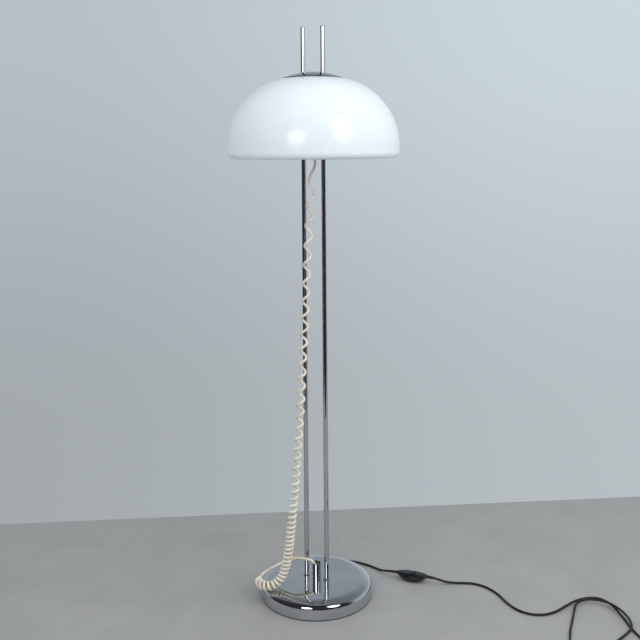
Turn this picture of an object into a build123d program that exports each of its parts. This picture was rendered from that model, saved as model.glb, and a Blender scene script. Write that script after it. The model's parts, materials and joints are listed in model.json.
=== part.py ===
from build123d import *
import os
from math import acos, atan2, cos, degrees, dist, pi, radians, sin, sqrt, tan

os.makedirs("parts", exist_ok=True)

# A mushroom floor lamp: an opal shade that slides on two chromed rods above a heavy round base.
# The origin is the middle of the base, on the floor. X runs through both rods, Y to the back, Z up.
# All sizes are in millimetres.

# Fits and clearances
thread_clearance = 0.05
running_clearance = 0.05
part_clearance = 0.4
rod_hole_clearance = 1.0
cord_clearance = 0.15
rocker_clearance = 0.9

# Base
base_diameter = 268.0
base_height = 38.5
base_flat_radius = 108.0
base_crown_radius = 45.0
base_shoulder_radius = 14.0
cover_wall = 1.6
edging_height = 2.5
edging_width = 11.4
edging_setback = 0.6
base_plate_thickness = 1.5
plate_margin = 1.0
weight_diameter = 240.0
weight_thickness = 16.0
weight_edge = 2.0
wiring_slot_width = 30.0
wiring_slot_start = -16.0
plate_screw_circle = 90.0
plate_screw_diameter = 4.0
plate_screw_head_diameter = 7.0
plate_screw_head_height = 1.5
plate_screw_length = 10.0

# Rods
rod_diameter = 12.0
rod_wall = 1.2
rod_spacing = 55.0
rod_top = 1383.5
rod_foot_length = 14.0
spigot_diameter = 10.0
ferrule_diameter = 17.0
ferrule_height = 3.0
spacer_diameter = 20.0
washer_diameter = 20.0
washer_thickness = 2.0
rod_nut_flats = 17.0
rod_nut_height = 8.0
counterbore_diameter = 26.0
counterbore_depth = 11.0
rod_plug_head = 1.2
rod_plug_stem = 8.0

# Cord tube beside the rods' feet
stub_diameter = 22.0
stub_bore = 19.0
stub_height = 36.0
stub_tail_diameter = 20.0
stub_tail_bore = 17.0
stub_tail_length = 11.0
stub_floor = 2.0
stub_nut_diameter = 28.0
stub_nut_height = 5.0
stub_mouth_rounding = 0.5

# Shade
shade_diameter = 420.0
shade_rim_height = 1062.0
shade_wall = 3.0
shade_crown_share = 0.9524
shade_shoulder_share = 0.3952
shade_shoulder_height = 32.0
shade_lip_radius = 16.0
shade_hole_diameter = 104.0

# Cap, seals and clamp plate that hold the shade
cap_diameter = 147.0
cap_rise = 15.5
cap_wall = 1.2
cap_seal_thickness = 1.5
cap_seal_width = 4.0
cap_seal_setback = 0.5
stud_spacing = 68.0
stud_diameter = 5.0
stud_overhang = 7.0
stud_nut_flats = 8.0
stud_nut_height = 4.0
clamp_plate_diameter = 132.0
clamp_plate_thickness = 3.0
clamp_seal_inner_diameter = 108.0
clamp_seal_outer_diameter = 128.0
clamp_seal_thickness = 1.5

# Slider that rides on the rods
slider_width = 84.0
slider_depth = 28.0
slider_height = 105.0
slider_rounding = 4.0
bush_wall = 1.95
bush_length = 18.0
slider_screw_diameter = 4.0
slider_screw_head = 7.5
slider_screw_length = 14.0
slider_screw_spacing_x = 24.0
slider_screw_spacing_y = 14.0
brake_bore = 10.0
brake_shoe_length = 11.5
brake_rod_gap = 0.3
spring_diameter = 7.4
spring_wire = 1.0
spring_turns = 6

# Lampholders and bulbs
bracket_thickness = 2.0
bracket_depth = 60.0
bracket_length = 100.0
bracket_leg_height = 42.0
bracket_leg_width = 40.0
bracket_screw_length = 12.0
bracket_screw_head_height = 2.5
holder_diameter = 40.0
holder_length = 50.0
holder_bore = 27.8
holder_floor = 16.0
holder_rounding = 3.0
holder_drop = 22.0
nipple_diameter = 10.0
nipple_bore = 6.0
nipple_length = 8.0
nipple_nut_flats = 14.0
nipple_nut_height = 3.0
bulb_diameter = 60.0
bulb_glass_wall = 0.8
bulb_base_diameter = 26.6
bulb_base_length = 27.0
bulb_neck_diameter = 25.6
bulb_neck_length = 6.0
bulb_length = 105.0
bulb_contact_height = 2.0
bulb_contact_diameter = 10.0

# Curly cord
curly_wire = 5.6
curl_radius_open = 7.0
curl_radius_closed = 8.4
curl_pitch_open = 55.0
curl_pitch_closed = 9.6
curl_opening_turns = 32.0
curl_opening_power = 1.45
curl_count = 50
curl_lead_in = 0.75
curl_lead_out = 1.5
curl_pitch_ease = 14.0
curl_start_angle = -90.0
curl_view_angle = 28.0
curls_begin = 90.0
strand_step = 14.0
gland_diameter = 14.0
gland_length = 24.0
gland_seat_depth = 10.0
gland_nut_diameter = 13.0
gland_nut_height = 3.0
gland_neck_diameter = 8.0
cord_clamp_size = 16.0
hanging_points = [
    (14, -22, 1136),
    (14, -22, 1066),
    (7, -25, 990),
    (3, -28, 926),
    (-1, -32, 837),
    (-4, -36, 740),
    (-7, -41, 644),
    (-11, -46, 547),
    (-14, -52, 449),
    (-19, -58, 359),
    (-23, -63, 281),
    (-28, -69, 208),
    (-32, -74, 154),
    (-35, -77, 118),
]
lying_points = [
    (-41, -80, 89),
    (-47, -86, 66),
    (-56, -99, 52),
    (-70, -110, 48),
    (-87, -111, 47),
    (-102, -102, 47),
    (-111, -87, 48),
    (-111, -68, 53),
    (-98, -54, 61),
    (-78, -41, 72),
    (-58, -30, 81),
    (-38, -19, 86),
    (3.5, 2, 76),
    (3.5, 2, 20),
]

# Mains lead
lead_diameter = 5.4
lead_exit_height = 11.0
grommet_flange_diameter = 12.0
grommet_body_diameter = 9.0
grommet_flange_thickness = 3.0
grommet_inner_thickness = 1.8
lead_clamp_length = 10.0
lead_clamp_width = 26.0
lead_clamp_height = 14.0
lead_clamp_start = 98.0
lead_tail_end = 92.0
lead_points_base_to_switch = [
    (0, 137, 11),
    (0, 159, 11),
    (14, 178, 6),
    (43, 183, 3),
    (70, 178, 3),
    (97, 167, 4),
    (124.08, 155.65, 10),
    (147.85, 158.99, 10),
]
lead_points_switch_to_coil = [
    (219.15, 169.01, 10),
    (242.92, 172.35, 10),
    (268, 181, 5),
    (296, 199, 3),
    (328, 213, 3),
    (362, 209, 3),
    (398, 188, 3),
    (431, 153, 3),
    (468, 131, 3),
    (508, 134, 3),
    (537, 158, 4),
    (554, 192, 6),
    (569, 226, 8),
    (590, 253, 9),
    (619, 268, 10),
    (650, 257, 10),
    (677, 232, 8),
    (700, 203, 6),
    (718, 171, 3),
    (739, 143, 3),
    (755, 112, 3),
    (758, 78, 3),
    (740, 50, 3),
    (708, 42, 3),
    (684, 62, 3),
    (682, 95, 3),
    (695, 128, 3),
    (706, 163, 3),
    (694, 197, 4),
    (671, 223, 6),
    (644, 244, 8),
    (615, 252, 9),
    (593, 243, 9),
    (581, 226, 8),
    (582, 199, 6),
    (589, 166, 4),
    (595, 127, 3),
    (599, 88, 3),
    (605, 50, 3),
    (614, 15, 3),
    (628, -17, 3),
]
coil_outer_radius = 36.0
coil_step_in = 6.0
coil_step_up = 6.0
coil_turns_in = 2.0
coil_climb_turns = 0.5
coil_turns = 3.25
coil_exit_run = 30.0

# Switch on the lead
switch_length = 72.0
switch_width = 34.0
switch_end_width = 17.0
switch_height = 20.0
switch_wall = 2.0
switch_rounding = 3.0
switch_center = (183.5, 164.0)
switch_turn = 8.0
switch_parting_height = 10.0
switch_lead_grip = 9.0
rocker_length = 15.4
rocker_width = 8.4
rocker_stand = 1.6
rocker_depth = 8.6
rocker_dip = 0.7
rocker_tilt = 6.0
rocker_pin_diameter = 2.0
rocker_pin_height = 15.0
rocker_boss_width = 2.4
rocker_boss_size = 6.0
rocker_boss_bottom = 12.0
switch_screw_diameter = 2.5
switch_screw_head = 4.5
switch_screw_length = 14.0
switch_screw_spacing = 46.0
switch_post_diameter = 6.0
contact_thickness = 0.8
contact_width = 5.0
contact_length = 16.0
contact_spacing = 9.0
contact_height = 6.0

# Plug
plug_width = 34.0
plug_thickness = 18.0
plug_length = 38.0
plug_rounding = 4.0
plug_nose_width = 14.0
plug_nose_length = 14.0
plug_pin_diameter = 4.0
plug_pin_length = 19.0
plug_pin_spacing = 18.6
plug_pin_root = 6.0

# Terminal block and wires in the base
terminal_length = 22.0
terminal_width = 24.0
terminal_height = 14.0
terminal_start = 40.0
terminal_pole_spacing = 11.0
terminal_insert_diameter = 6.0
terminal_insert_bore = 3.2
terminal_screw_diameter = 2.6
wire_diameter = 2.2
wire_spacing = 3.0
wire_bend = 5.0
lamp_wire_diameter = 3.0
lamp_wire_spread = 37.0
lamp_wire_rise = 6.0

# Worked-out heights and places
base_radius = base_diameter / 2
rod_radius = rod_diameter / 2
lead_radius = lead_diameter / 2
wire_radius = wire_diameter / 2
curly_radius = curly_wire / 2
base_plate_top = edging_height + base_plate_thickness
weight_top = base_plate_top + weight_thickness
cover_underside = base_height - cover_wall
spigot_bottom = base_plate_top + part_clearance
washer_bottom = base_plate_top + counterbore_depth - washer_thickness
stub_top = base_height + stub_height
rod_places = [(-rod_spacing / 2, 0), (rod_spacing / 2, 0)]
back_of_base = Plane(origin=(0, base_radius, lead_exit_height), x_dir=(-1, 0, 0), z_dir=(0, 1, 0))

shade_crown_radius = shade_diameter * shade_crown_share
shade_shoulder_radius = shade_diameter * shade_shoulder_share
shade_shoulder_x = shade_diameter / 2 - shade_shoulder_radius
shade_shoulder_z = shade_rim_height + shade_shoulder_height
shade_crown_z = shade_shoulder_z - sqrt(
    (shade_crown_radius - shade_shoulder_radius) ** 2 - shade_shoulder_x ** 2)
shade_lean = degrees(atan2(shade_shoulder_z - shade_crown_z, shade_shoulder_x))
inner_crown_radius = shade_crown_radius - shade_wall


def crown_height(radius, x):
    return shade_crown_z + sqrt(radius ** 2 - x ** 2)


cap_seat = (crown_height(shade_crown_radius, cap_diameter / 2 - cap_seal_setback)
            + cap_seal_thickness)
clamp_plate_top = (crown_height(inner_crown_radius, clamp_seal_outer_diameter / 2)
                   - clamp_seal_thickness)
clamp_plate_bottom = clamp_plate_top - clamp_plate_thickness
slider_bottom = clamp_plate_bottom - slider_height
bracket_bottom = slider_bottom - bracket_thickness
holder_axis_z = bracket_bottom - holder_drop
brake_z = slider_bottom + slider_height / 2
gland_bottom = bracket_bottom - gland_length
cord_seat = gland_bottom + gland_seat_depth
hanging_stretch = cord_seat / hanging_points[0][2]
curly_points = [(x, y, z * hanging_stretch) for x, y, z in hanging_points] + lying_points


# Paths and tubes

def corner_radii(points):
    """Radius for each corner of a route: 0.45 of the shorter run over the tangent of half the turn."""
    places = [Vector(*point) for point in points]
    radii = []
    for before, here, after in zip(places, places[1:], places[2:]):
        run_in = here - before
        run_out = after - here
        half_turn = radians(run_in.get_angle(run_out)) / 2
        radii.append(0.45 * min(run_in.length, run_out.length) / tan(half_turn))
    return radii


def route_wire(points):
    """Straight runs joined by tangent arcs."""
    with BuildLine() as route:
        FilletPolyline(*points, radius=corner_radii(points))
    return route.wires()[0]


def tube_along(wire, radius):
    """The solid of a round tube whose middle follows the wire."""
    with BuildPart(mode=Mode.PRIVATE) as tube:
        with BuildSketch(Plane(origin=wire @ 0, z_dir=wire % 0)):
            Circle(radius)
        sweep(path=wire)
    return tube.part


def tangent_arc(start, heading, end, straight_within=0.05):
    """An arc that leaves start along heading, or a line where the end lies straight ahead."""
    if heading.get_angle(end - start) < straight_within:
        Line(start, end)
    else:
        TangentArc(start, end, tangent=heading)


def biarc(start, start_heading, end, end_heading):
    """Two arcs that leave start and reach end along the given headings."""
    chord = end - start
    both = start_heading + end_heading
    bend = 2 * (1 - start_heading.dot(end_heading))
    along = chord.dot(both)
    if bend < 1e-9:
        reach = chord.dot(chord) / (2 * along)
    else:
        reach = (sqrt(along ** 2 + bend * chord.dot(chord)) - along) / bend
    first_knee = start + start_heading * reach
    second_knee = end - end_heading * reach
    middle = (first_knee + second_knee) * 0.5
    tangent_arc(start, start_heading, middle)
    tangent_arc(middle, (second_knee - first_knee).normalized(), end)


def biarc_wire(places, headings):
    """One unbroken wire of biarcs through all places."""
    with BuildLine() as line:
        for start, start_heading, end, end_heading in zip(
                places, headings, places[1:], headings[1:]):
            biarc(start, start_heading, end, end_heading)
    return line.wires()[0]


def least_gap(wire, radius, skip):
    """Least gap between the tube's own surfaces, for stretches further apart than skip along it."""
    spots = []
    travelled = 0
    for edge in wire.edges():
        steps = int(2 * edge.length / radius) + 1
        spots += [(travelled + edge.length * step / steps, tuple(edge @ (step / steps)))
                  for step in range(steps)]
        travelled += edge.length
    least = min(dist(spot, other)
                for number, (along, spot) in enumerate(spots)
                for other_along, other in spots[number:]
                if other_along - along > skip)
    return least - 2 * radius


def report_route(name, points):
    radii = corner_radii(points)
    print(name, "corner radii:", " ".join(f"{radius:.0f}" for radius in radii))


def report_tube(name, solid, length, radius):
    expected = pi * radius ** 2 * length
    print(f"{name}: length {length:.0f}, volume {solid.volume:.0f}, section x length {expected:.0f}")


def screw(head_diameter, head_height, shank_diameter, length):
    """A pan-head screw: the head stands on z = 0, and its shank runs down from there."""
    with BuildPart(mode=Mode.PRIVATE) as fastener:
        Cylinder(head_diameter / 2, head_height, align=(Align.CENTER, Align.CENTER, Align.MIN))
        Cylinder(shank_diameter / 2, length, align=(Align.CENTER, Align.CENTER, Align.MAX))
        slot_width = head_diameter / 6
        with Locations((0, 0, head_height)):
            Box(head_diameter, slot_width, head_height, mode=Mode.SUBTRACT)
        fillet(fastener.edges().filter_by(GeomType.CIRCLE).sort_by(Axis.Z)[-1], head_height / 5)
    return fastener.part


# Base

shoulder_x = base_radius - base_shoulder_radius
cover_crown_z = base_height - base_crown_radius
shoulder_z = cover_crown_z + sqrt(
    (base_crown_radius - base_shoulder_radius) ** 2 - (shoulder_x - base_flat_radius) ** 2)
cover_lean = degrees(atan2(shoulder_z - cover_crown_z, shoulder_x - base_flat_radius))


def cover_outline(inset):
    """The cover's half outline, from the middle of its top to the foot of its side."""
    Line((0, base_height - inset), (base_flat_radius, base_height - inset))
    CenterArc((base_flat_radius, cover_crown_z), base_crown_radius - inset, cover_lean, 90 - cover_lean)
    CenterArc((shoulder_x, shoulder_z), base_shoulder_radius - inset, 0, cover_lean)
    Line((base_radius - inset, shoulder_z), (base_radius - inset, edging_height))


with BuildPart() as base_cover:
    with BuildSketch(Plane.XZ):
        with BuildLine():
            cover_outline(0)
            cover_outline(cover_wall)
            Line((0, base_height - cover_wall), (0, base_height))
            Line((base_radius - cover_wall, edging_height), (base_radius, edging_height))
        make_face()
    revolve(axis=Axis.Z)
    with Locations(*[(x, y, base_height) for x, y in rod_places]):
        Hole(spigot_diameter / 2 + part_clearance, 2 * cover_wall)
    with Locations((0, 0, base_height)):
        Hole(stub_tail_diameter / 2 + part_clearance, 2 * cover_wall)
    with BuildSketch(back_of_base.offset(cover_wall)):
        Circle(grommet_body_diameter / 2 + thread_clearance)
    extrude(amount=-cover_wall * 3, mode=Mode.SUBTRACT)
base_cover.part.label = "base_cover"
export_step(base_cover.part, "parts/base_cover.step")

with BuildPart() as base_edging:
    with BuildSketch():
        Circle(base_radius - edging_setback)
        Circle(base_radius - edging_setback - edging_width, mode=Mode.SUBTRACT)
    extrude(amount=edging_height)
base_edging.part.label = "base_edging"
export_step(base_edging.part, "parts/base_edging.step")

with BuildPart() as base_plate:
    with BuildSketch(Plane.XY.offset(edging_height)):
        Circle(base_radius - cover_wall - plate_margin)
        with PolarLocations(plate_screw_circle, 3, 30):
            Circle(plate_screw_diameter / 2 + part_clearance, mode=Mode.SUBTRACT)
    extrude(amount=base_plate_thickness)
base_plate.part.label = "base_plate"
export_step(base_plate.part, "parts/base_plate.step")

weight_radius = weight_diameter / 2
with BuildPart() as base_weight:
    with BuildSketch(Plane.XY.offset(base_plate_top)):
        Circle(weight_radius)
    extrude(amount=weight_thickness)
    chamfer(base_weight.edges().group_by(Axis.Z)[-1], weight_edge)
    with BuildSketch(Plane.XY.offset(base_plate_top)):
        with Locations((0, wiring_slot_start)):
            Rectangle(wiring_slot_width, base_diameter, align=(Align.CENTER, Align.MIN))
        with Locations(*rod_places):
            Circle(spigot_diameter / 2 + part_clearance)
        with PolarLocations(plate_screw_circle, 3, 30):
            Circle(plate_screw_diameter / 2 + thread_clearance)
    extrude(amount=weight_thickness, mode=Mode.SUBTRACT)
    with BuildSketch(Plane.XY.offset(base_plate_top)):
        with Locations(*rod_places):
            Circle(counterbore_diameter / 2)
    extrude(amount=counterbore_depth, mode=Mode.SUBTRACT)
base_weight.part.label = "base_weight"
export_step(base_weight.part, "parts/base_weight.step")

plate_screw = screw(plate_screw_head_diameter, plate_screw_head_height,
                    plate_screw_diameter, plate_screw_length)
under_plate = Plane(origin=(0, 0, edging_height), x_dir=(-1, 0, 0), z_dir=(0, 0, -1))
with BuildPart(under_plate) as plate_screws:
    with PolarLocations(plate_screw_circle, 3, 30):
        add(plate_screw)
plate_screws.part.label = "plate_screws"
export_step(plate_screws.part, "parts/plate_screws.step")


# Rods and what holds them

for side, rod_name in ((-1, "rod_left"), (1, "rod_right")):
    with BuildPart(Plane(origin=(side * rod_spacing / 2, 0, base_height))) as rod:
        Cylinder(rod_radius, rod_top - base_height, align=(Align.CENTER, Align.CENTER, Align.MIN))
        Cylinder(spigot_diameter / 2, base_height - spigot_bottom,
                 align=(Align.CENTER, Align.CENTER, Align.MAX))
        with Locations((0, 0, rod_top - base_height)):
            Hole(rod_radius - rod_wall, rod_top - base_height - rod_foot_length)
    rod.part.label = rod_name
    export_step(rod.part, f"parts/{rod_name}.step")

with BuildPart(Plane.XY.offset(base_height)) as rod_ferrules:
    with Locations(*rod_places):
        Cylinder(ferrule_diameter / 2, ferrule_height, align=(Align.CENTER, Align.CENTER, Align.MIN))
        Hole(rod_radius + thread_clearance)
    fillet(rod_ferrules.edges().filter_by(GeomType.CIRCLE).group_by(Axis.Z)[-1], ferrule_height / 6)
rod_ferrules.part.label = "rod_ferrules"
export_step(rod_ferrules.part, "parts/rod_ferrules.step")

with BuildPart(Plane.XY.offset(weight_top)) as rod_spacers:
    with Locations(*rod_places):
        Cylinder(spacer_diameter / 2, cover_underside - weight_top,
                 align=(Align.CENTER, Align.CENTER, Align.MIN))
        Hole(spigot_diameter / 2 + thread_clearance)
rod_spacers.part.label = "rod_spacers"
export_step(rod_spacers.part, "parts/rod_spacers.step")

with BuildPart(Plane.XY.offset(washer_bottom)) as rod_washers:
    with Locations(*rod_places):
        Cylinder(washer_diameter / 2, washer_thickness, align=(Align.CENTER, Align.CENTER, Align.MIN))
        Hole(spigot_diameter / 2 + thread_clearance)
rod_washers.part.label = "rod_washers"
export_step(rod_washers.part, "parts/rod_washers.step")

with BuildPart() as rod_nuts:
    with BuildSketch(Plane.XY.offset(washer_bottom)):
        with Locations(*rod_places):
            RegularPolygon(rod_nut_flats / 2, 6, major_radius=False)
            Circle(spigot_diameter / 2 + thread_clearance, mode=Mode.SUBTRACT)
    extrude(amount=-rod_nut_height)
rod_nuts.part.label = "rod_nuts"
export_step(rod_nuts.part, "parts/rod_nuts.step")

with BuildPart(Plane.XY.offset(rod_top)) as rod_plugs:
    with Locations(*rod_places):
        Cylinder(rod_radius, rod_plug_head, align=(Align.CENTER, Align.CENTER, Align.MIN))
        Cylinder(rod_radius - rod_wall - thread_clearance, rod_plug_stem,
                 align=(Align.CENTER, Align.CENTER, Align.MAX))
    fillet(rod_plugs.edges().filter_by(GeomType.CIRCLE).group_by(Axis.Z)[-1], rod_plug_head / 2)
rod_plugs.part.label = "rod_plugs"
export_step(rod_plugs.part, "parts/rod_plugs.step")


# Cord tube

with BuildPart() as cord_stub:
    with BuildSketch(Plane.XY.offset(base_height)):
        Circle(stub_diameter / 2)
    extrude(amount=stub_height)
    with BuildSketch(Plane.XY.offset(base_height)):
        Circle(stub_tail_diameter / 2)
    extrude(amount=-stub_tail_length)
    with BuildSketch(Plane.XY.offset(stub_top)):
        Circle(stub_bore / 2)
    extrude(amount=-(stub_height - stub_floor), mode=Mode.SUBTRACT)
    with BuildSketch(Plane.XY.offset(base_height + stub_floor)):
        Circle(stub_tail_bore / 2)
    extrude(amount=-(stub_tail_length + stub_floor), mode=Mode.SUBTRACT)
    fillet(cord_stub.edges().group_by(Axis.Z)[-1], stub_mouth_rounding)
cord_stub.part.label = "cord_stub"
export_step(cord_stub.part, "parts/cord_stub.step")

with BuildPart() as stub_nut:
    with BuildSketch(Plane.XY.offset(cover_underside)):
        Circle(stub_nut_diameter / 2)
        Circle(stub_tail_diameter / 2 + thread_clearance, mode=Mode.SUBTRACT)
    extrude(amount=-stub_nut_height)
stub_nut.part.label = "stub_nut"
export_step(stub_nut.part, "parts/stub_nut.step")


# Shade and what clamps it

with BuildPart() as shade:
    with BuildSketch(Plane.XZ):
        shade_radius = shade_diameter / 2
        hole_radius = shade_hole_diameter / 2
        lip_x = shade_radius - shade_lip_radius
        lip_z = shade_rim_height + shade_lip_radius
        hole_angle = degrees(acos(hole_radius / shade_crown_radius))
        inner_hole_angle = degrees(acos(hole_radius / inner_crown_radius))
        with BuildLine():
            CenterArc((0, shade_crown_z), shade_crown_radius, shade_lean, hole_angle - shade_lean)
            CenterArc((shade_shoulder_x, shade_shoulder_z), shade_shoulder_radius, 0, shade_lean)
            Line((shade_radius, shade_shoulder_z), (shade_radius, lip_z))
            CenterArc((lip_x, lip_z), shade_lip_radius, 0, -90)
            Line((lip_x, shade_rim_height), (lip_x, shade_rim_height + shade_wall))
            CenterArc((lip_x, lip_z), shade_lip_radius - shade_wall, 0, -90)
            Line((shade_radius - shade_wall, lip_z), (shade_radius - shade_wall, shade_shoulder_z))
            CenterArc((shade_shoulder_x, shade_shoulder_z), shade_shoulder_radius - shade_wall,
                      0, shade_lean)
            CenterArc((0, shade_crown_z), inner_crown_radius, shade_lean,
                      inner_hole_angle - shade_lean)
            Line((hole_radius, crown_height(inner_crown_radius, hole_radius)),
                 (hole_radius, crown_height(shade_crown_radius, hole_radius)))
        make_face()
    revolve(axis=Axis.Z)
shade.part.label = "shade"
export_step(shade.part, "parts/shade.step")

cap_radius = cap_diameter / 2
cap_curve = (cap_radius ** 2 + cap_rise ** 2) / (2 * cap_rise)
cap_curve_z = cap_seat + cap_rise - cap_curve
cap_edge_angle = degrees(acos(cap_radius / cap_curve))
cap_inner_edge = sqrt((cap_curve - cap_wall) ** 2 - (cap_curve - cap_rise) ** 2)
cap_inner_edge_angle = degrees(acos(cap_inner_edge / (cap_curve - cap_wall)))
stud_places = [(0, -stud_spacing / 2), (0, stud_spacing / 2)]
rod_hole_radius = rod_radius + rod_hole_clearance

with BuildPart() as shade_cap:
    with BuildSketch(Plane.XZ):
        with BuildLine():
            CenterArc((0, cap_curve_z), cap_curve, cap_edge_angle, 90 - cap_edge_angle)
            Line((cap_inner_edge, cap_seat), (cap_radius, cap_seat))
            CenterArc((0, cap_curve_z), cap_curve - cap_wall, cap_inner_edge_angle,
                      90 - cap_inner_edge_angle)
            Line((0, cap_curve_z + cap_curve - cap_wall), (0, cap_curve_z + cap_curve))
        make_face()
    revolve(axis=Axis.Z)
    stud_root = cap_curve_z + sqrt((cap_curve - cap_wall / 2) ** 2 - (stud_spacing / 2) ** 2)
    with Locations(*[(x, y, stud_root) for x, y in stud_places]):
        Cylinder(stud_diameter / 2, stud_root - clamp_plate_bottom + stud_overhang,
                 align=(Align.CENTER, Align.CENTER, Align.MAX))
    with Locations(*[(x, y, cap_seat + cap_rise) for x, y in rod_places]):
        Hole(rod_hole_radius, cap_rise)
shade_cap.part.label = "shade_cap"
export_step(shade_cap.part, "parts/shade_cap.step")

with BuildPart() as cap_seal:
    with BuildSketch(Plane.XZ):
        seal_outer = cap_radius - cap_seal_setback
        seal_inner = seal_outer - cap_seal_width
        with BuildLine():
            Line((seal_inner, cap_seat), (seal_outer, cap_seat))
            Line((seal_outer, cap_seat), (seal_outer, crown_height(shade_crown_radius, seal_outer)))
            CenterArc((0, shade_crown_z), shade_crown_radius,
                      degrees(acos(seal_outer / shade_crown_radius)),
                      degrees(acos(seal_inner / shade_crown_radius)
                              - acos(seal_outer / shade_crown_radius)))
            Line((seal_inner, crown_height(shade_crown_radius, seal_inner)), (seal_inner, cap_seat))
        make_face()
    revolve(axis=Axis.Z)
cap_seal.part.label = "cap_seal"
export_step(cap_seal.part, "parts/cap_seal.step")

with BuildPart() as clamp_seal:
    with BuildSketch(Plane.XZ):
        seal_outer = clamp_seal_outer_diameter / 2
        seal_inner = clamp_seal_inner_diameter / 2
        with BuildLine():
            Line((seal_inner, clamp_plate_top), (seal_outer, clamp_plate_top))
            Line((seal_outer, clamp_plate_top),
                 (seal_outer, crown_height(inner_crown_radius, seal_outer)))
            CenterArc((0, shade_crown_z), inner_crown_radius,
                      degrees(acos(seal_outer / inner_crown_radius)),
                      degrees(acos(seal_inner / inner_crown_radius)
                              - acos(seal_outer / inner_crown_radius)))
            Line((seal_inner, crown_height(inner_crown_radius, seal_inner)),
                 (seal_inner, clamp_plate_top))
        make_face()
    revolve(axis=Axis.Z)
clamp_seal.part.label = "clamp_seal"
export_step(clamp_seal.part, "parts/clamp_seal.step")

with BuildPart() as clamp_plate:
    with BuildSketch(Plane.XY.offset(clamp_plate_bottom)):
        Circle(clamp_plate_diameter / 2)
        with Locations(*rod_places):
            Circle(rod_hole_radius, mode=Mode.SUBTRACT)
        with Locations(*stud_places):
            Circle(stud_diameter / 2 + part_clearance, mode=Mode.SUBTRACT)
        with GridLocations(slider_screw_spacing_x, slider_screw_spacing_y, 2, 2):
            Circle(slider_screw_diameter / 2 + part_clearance, mode=Mode.SUBTRACT)
    extrude(amount=clamp_plate_thickness)
clamp_plate.part.label = "clamp_plate"
export_step(clamp_plate.part, "parts/clamp_plate.step")

with BuildPart() as stud_nuts:
    with BuildSketch(Plane.XY.offset(clamp_plate_bottom)):
        with Locations(*stud_places):
            RegularPolygon(stud_nut_flats / 2, 6, major_radius=False)
            Circle(stud_diameter / 2 + thread_clearance, mode=Mode.SUBTRACT)
    extrude(amount=-stud_nut_height)
stud_nuts.part.label = "stud_nuts"
export_step(stud_nuts.part, "parts/stud_nuts.step")


# Slider, guide bushes and brake

bush_outer_radius = rod_radius + running_clearance + bush_wall
spring_end = rod_spacing / 2 - rod_radius - brake_rod_gap - brake_shoe_length

with BuildPart() as slider_block:
    with BuildSketch(Plane.XY.offset(slider_bottom)):
        RectangleRounded(slider_width, slider_depth, slider_rounding)
        with Locations(*rod_places):
            Circle(bush_outer_radius + thread_clearance, mode=Mode.SUBTRACT)
    extrude(amount=slider_height)
    with BuildSketch(Plane.YZ.offset(-rod_spacing / 2)):
        with Locations((0, brake_z)):
            Circle(brake_bore / 2)
    extrude(amount=rod_spacing, mode=Mode.SUBTRACT)
    with Locations(Plane.XY.offset(clamp_plate_bottom)):
        with GridLocations(slider_screw_spacing_x, slider_screw_spacing_y, 2, 2):
            Hole(slider_screw_diameter / 2 + thread_clearance, slider_screw_length)
    with Locations(Plane(origin=(0, 0, slider_bottom), z_dir=(0, 0, -1))):
        with GridLocations(slider_screw_spacing_x, slider_screw_spacing_y, 2, 2):
            Hole(slider_screw_diameter / 2 + thread_clearance, bracket_screw_length)
slider_block.part.label = "slider_block"
export_step(slider_block.part, "parts/slider_block.step")

slider_screw = screw(slider_screw_head, bracket_screw_head_height, slider_screw_diameter,
                     slider_screw_length - part_clearance)
with BuildPart(Plane.XY.offset(clamp_plate_top)) as slider_screws:
    with GridLocations(slider_screw_spacing_x, slider_screw_spacing_y, 2, 2):
        add(slider_screw)
slider_screws.part.label = "slider_screws"
export_step(slider_screws.part, "parts/slider_screws.step")

with BuildPart() as guide_bushes:
    bush_heights = (slider_bottom, slider_bottom + slider_height - bush_length)
    with Locations(*[(x, y, z) for x, y in rod_places for z in bush_heights]):
        Cylinder(bush_outer_radius, bush_length, align=(Align.CENTER, Align.CENTER, Align.MIN))
        Cylinder(rod_radius + running_clearance, bush_length,
                 align=(Align.CENTER, Align.CENTER, Align.MIN), mode=Mode.SUBTRACT)
guide_bushes.part.label = "guide_bushes"
export_step(guide_bushes.part, "parts/guide_bushes.step")

with BuildPart() as brake_shoes:
    for side in (-1, 1):
        with BuildSketch(Plane.YZ.offset(side * spring_end)):
            with Locations((0, brake_z)):
                Circle(brake_bore / 2 - running_clearance)
        extrude(amount=side * (brake_shoe_length + rod_radius))
    with BuildSketch(Plane.XY.offset(brake_z - brake_bore)):
        with Locations(*rod_places):
            Circle(rod_radius + brake_rod_gap)
    extrude(amount=2 * brake_bore, mode=Mode.SUBTRACT)
brake_shoes.part.label = "brake_shoes"
export_step(brake_shoes.part, "parts/brake_shoes.step")

with BuildPart() as brake_spring:
    coil_radius = (spring_diameter - spring_wire) / 2
    spring_reach = spring_end - spring_wire
    quarter_turns = 4 * spring_turns
    places = []
    headings = []
    for quarter in range(quarter_turns + 1):
        angle = quarter * pi / 2
        x = -spring_reach + 2 * spring_reach * quarter / quarter_turns
        places.append(Vector(x, coil_radius * cos(angle), brake_z + coil_radius * sin(angle)))
        headings.append(Vector(spring_reach / (pi * spring_turns),
                               -coil_radius * sin(angle), coil_radius * cos(angle)).normalized())
    add(tube_along(biarc_wire(places, headings), spring_wire / 2))
brake_spring.part.label = "brake_spring"
export_step(brake_spring.part, "parts/brake_spring.step")


# Lampholder bracket, lampholders and bulbs

gland_place = curly_points[0][:2]
half_bracket = bracket_length / 2

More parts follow.
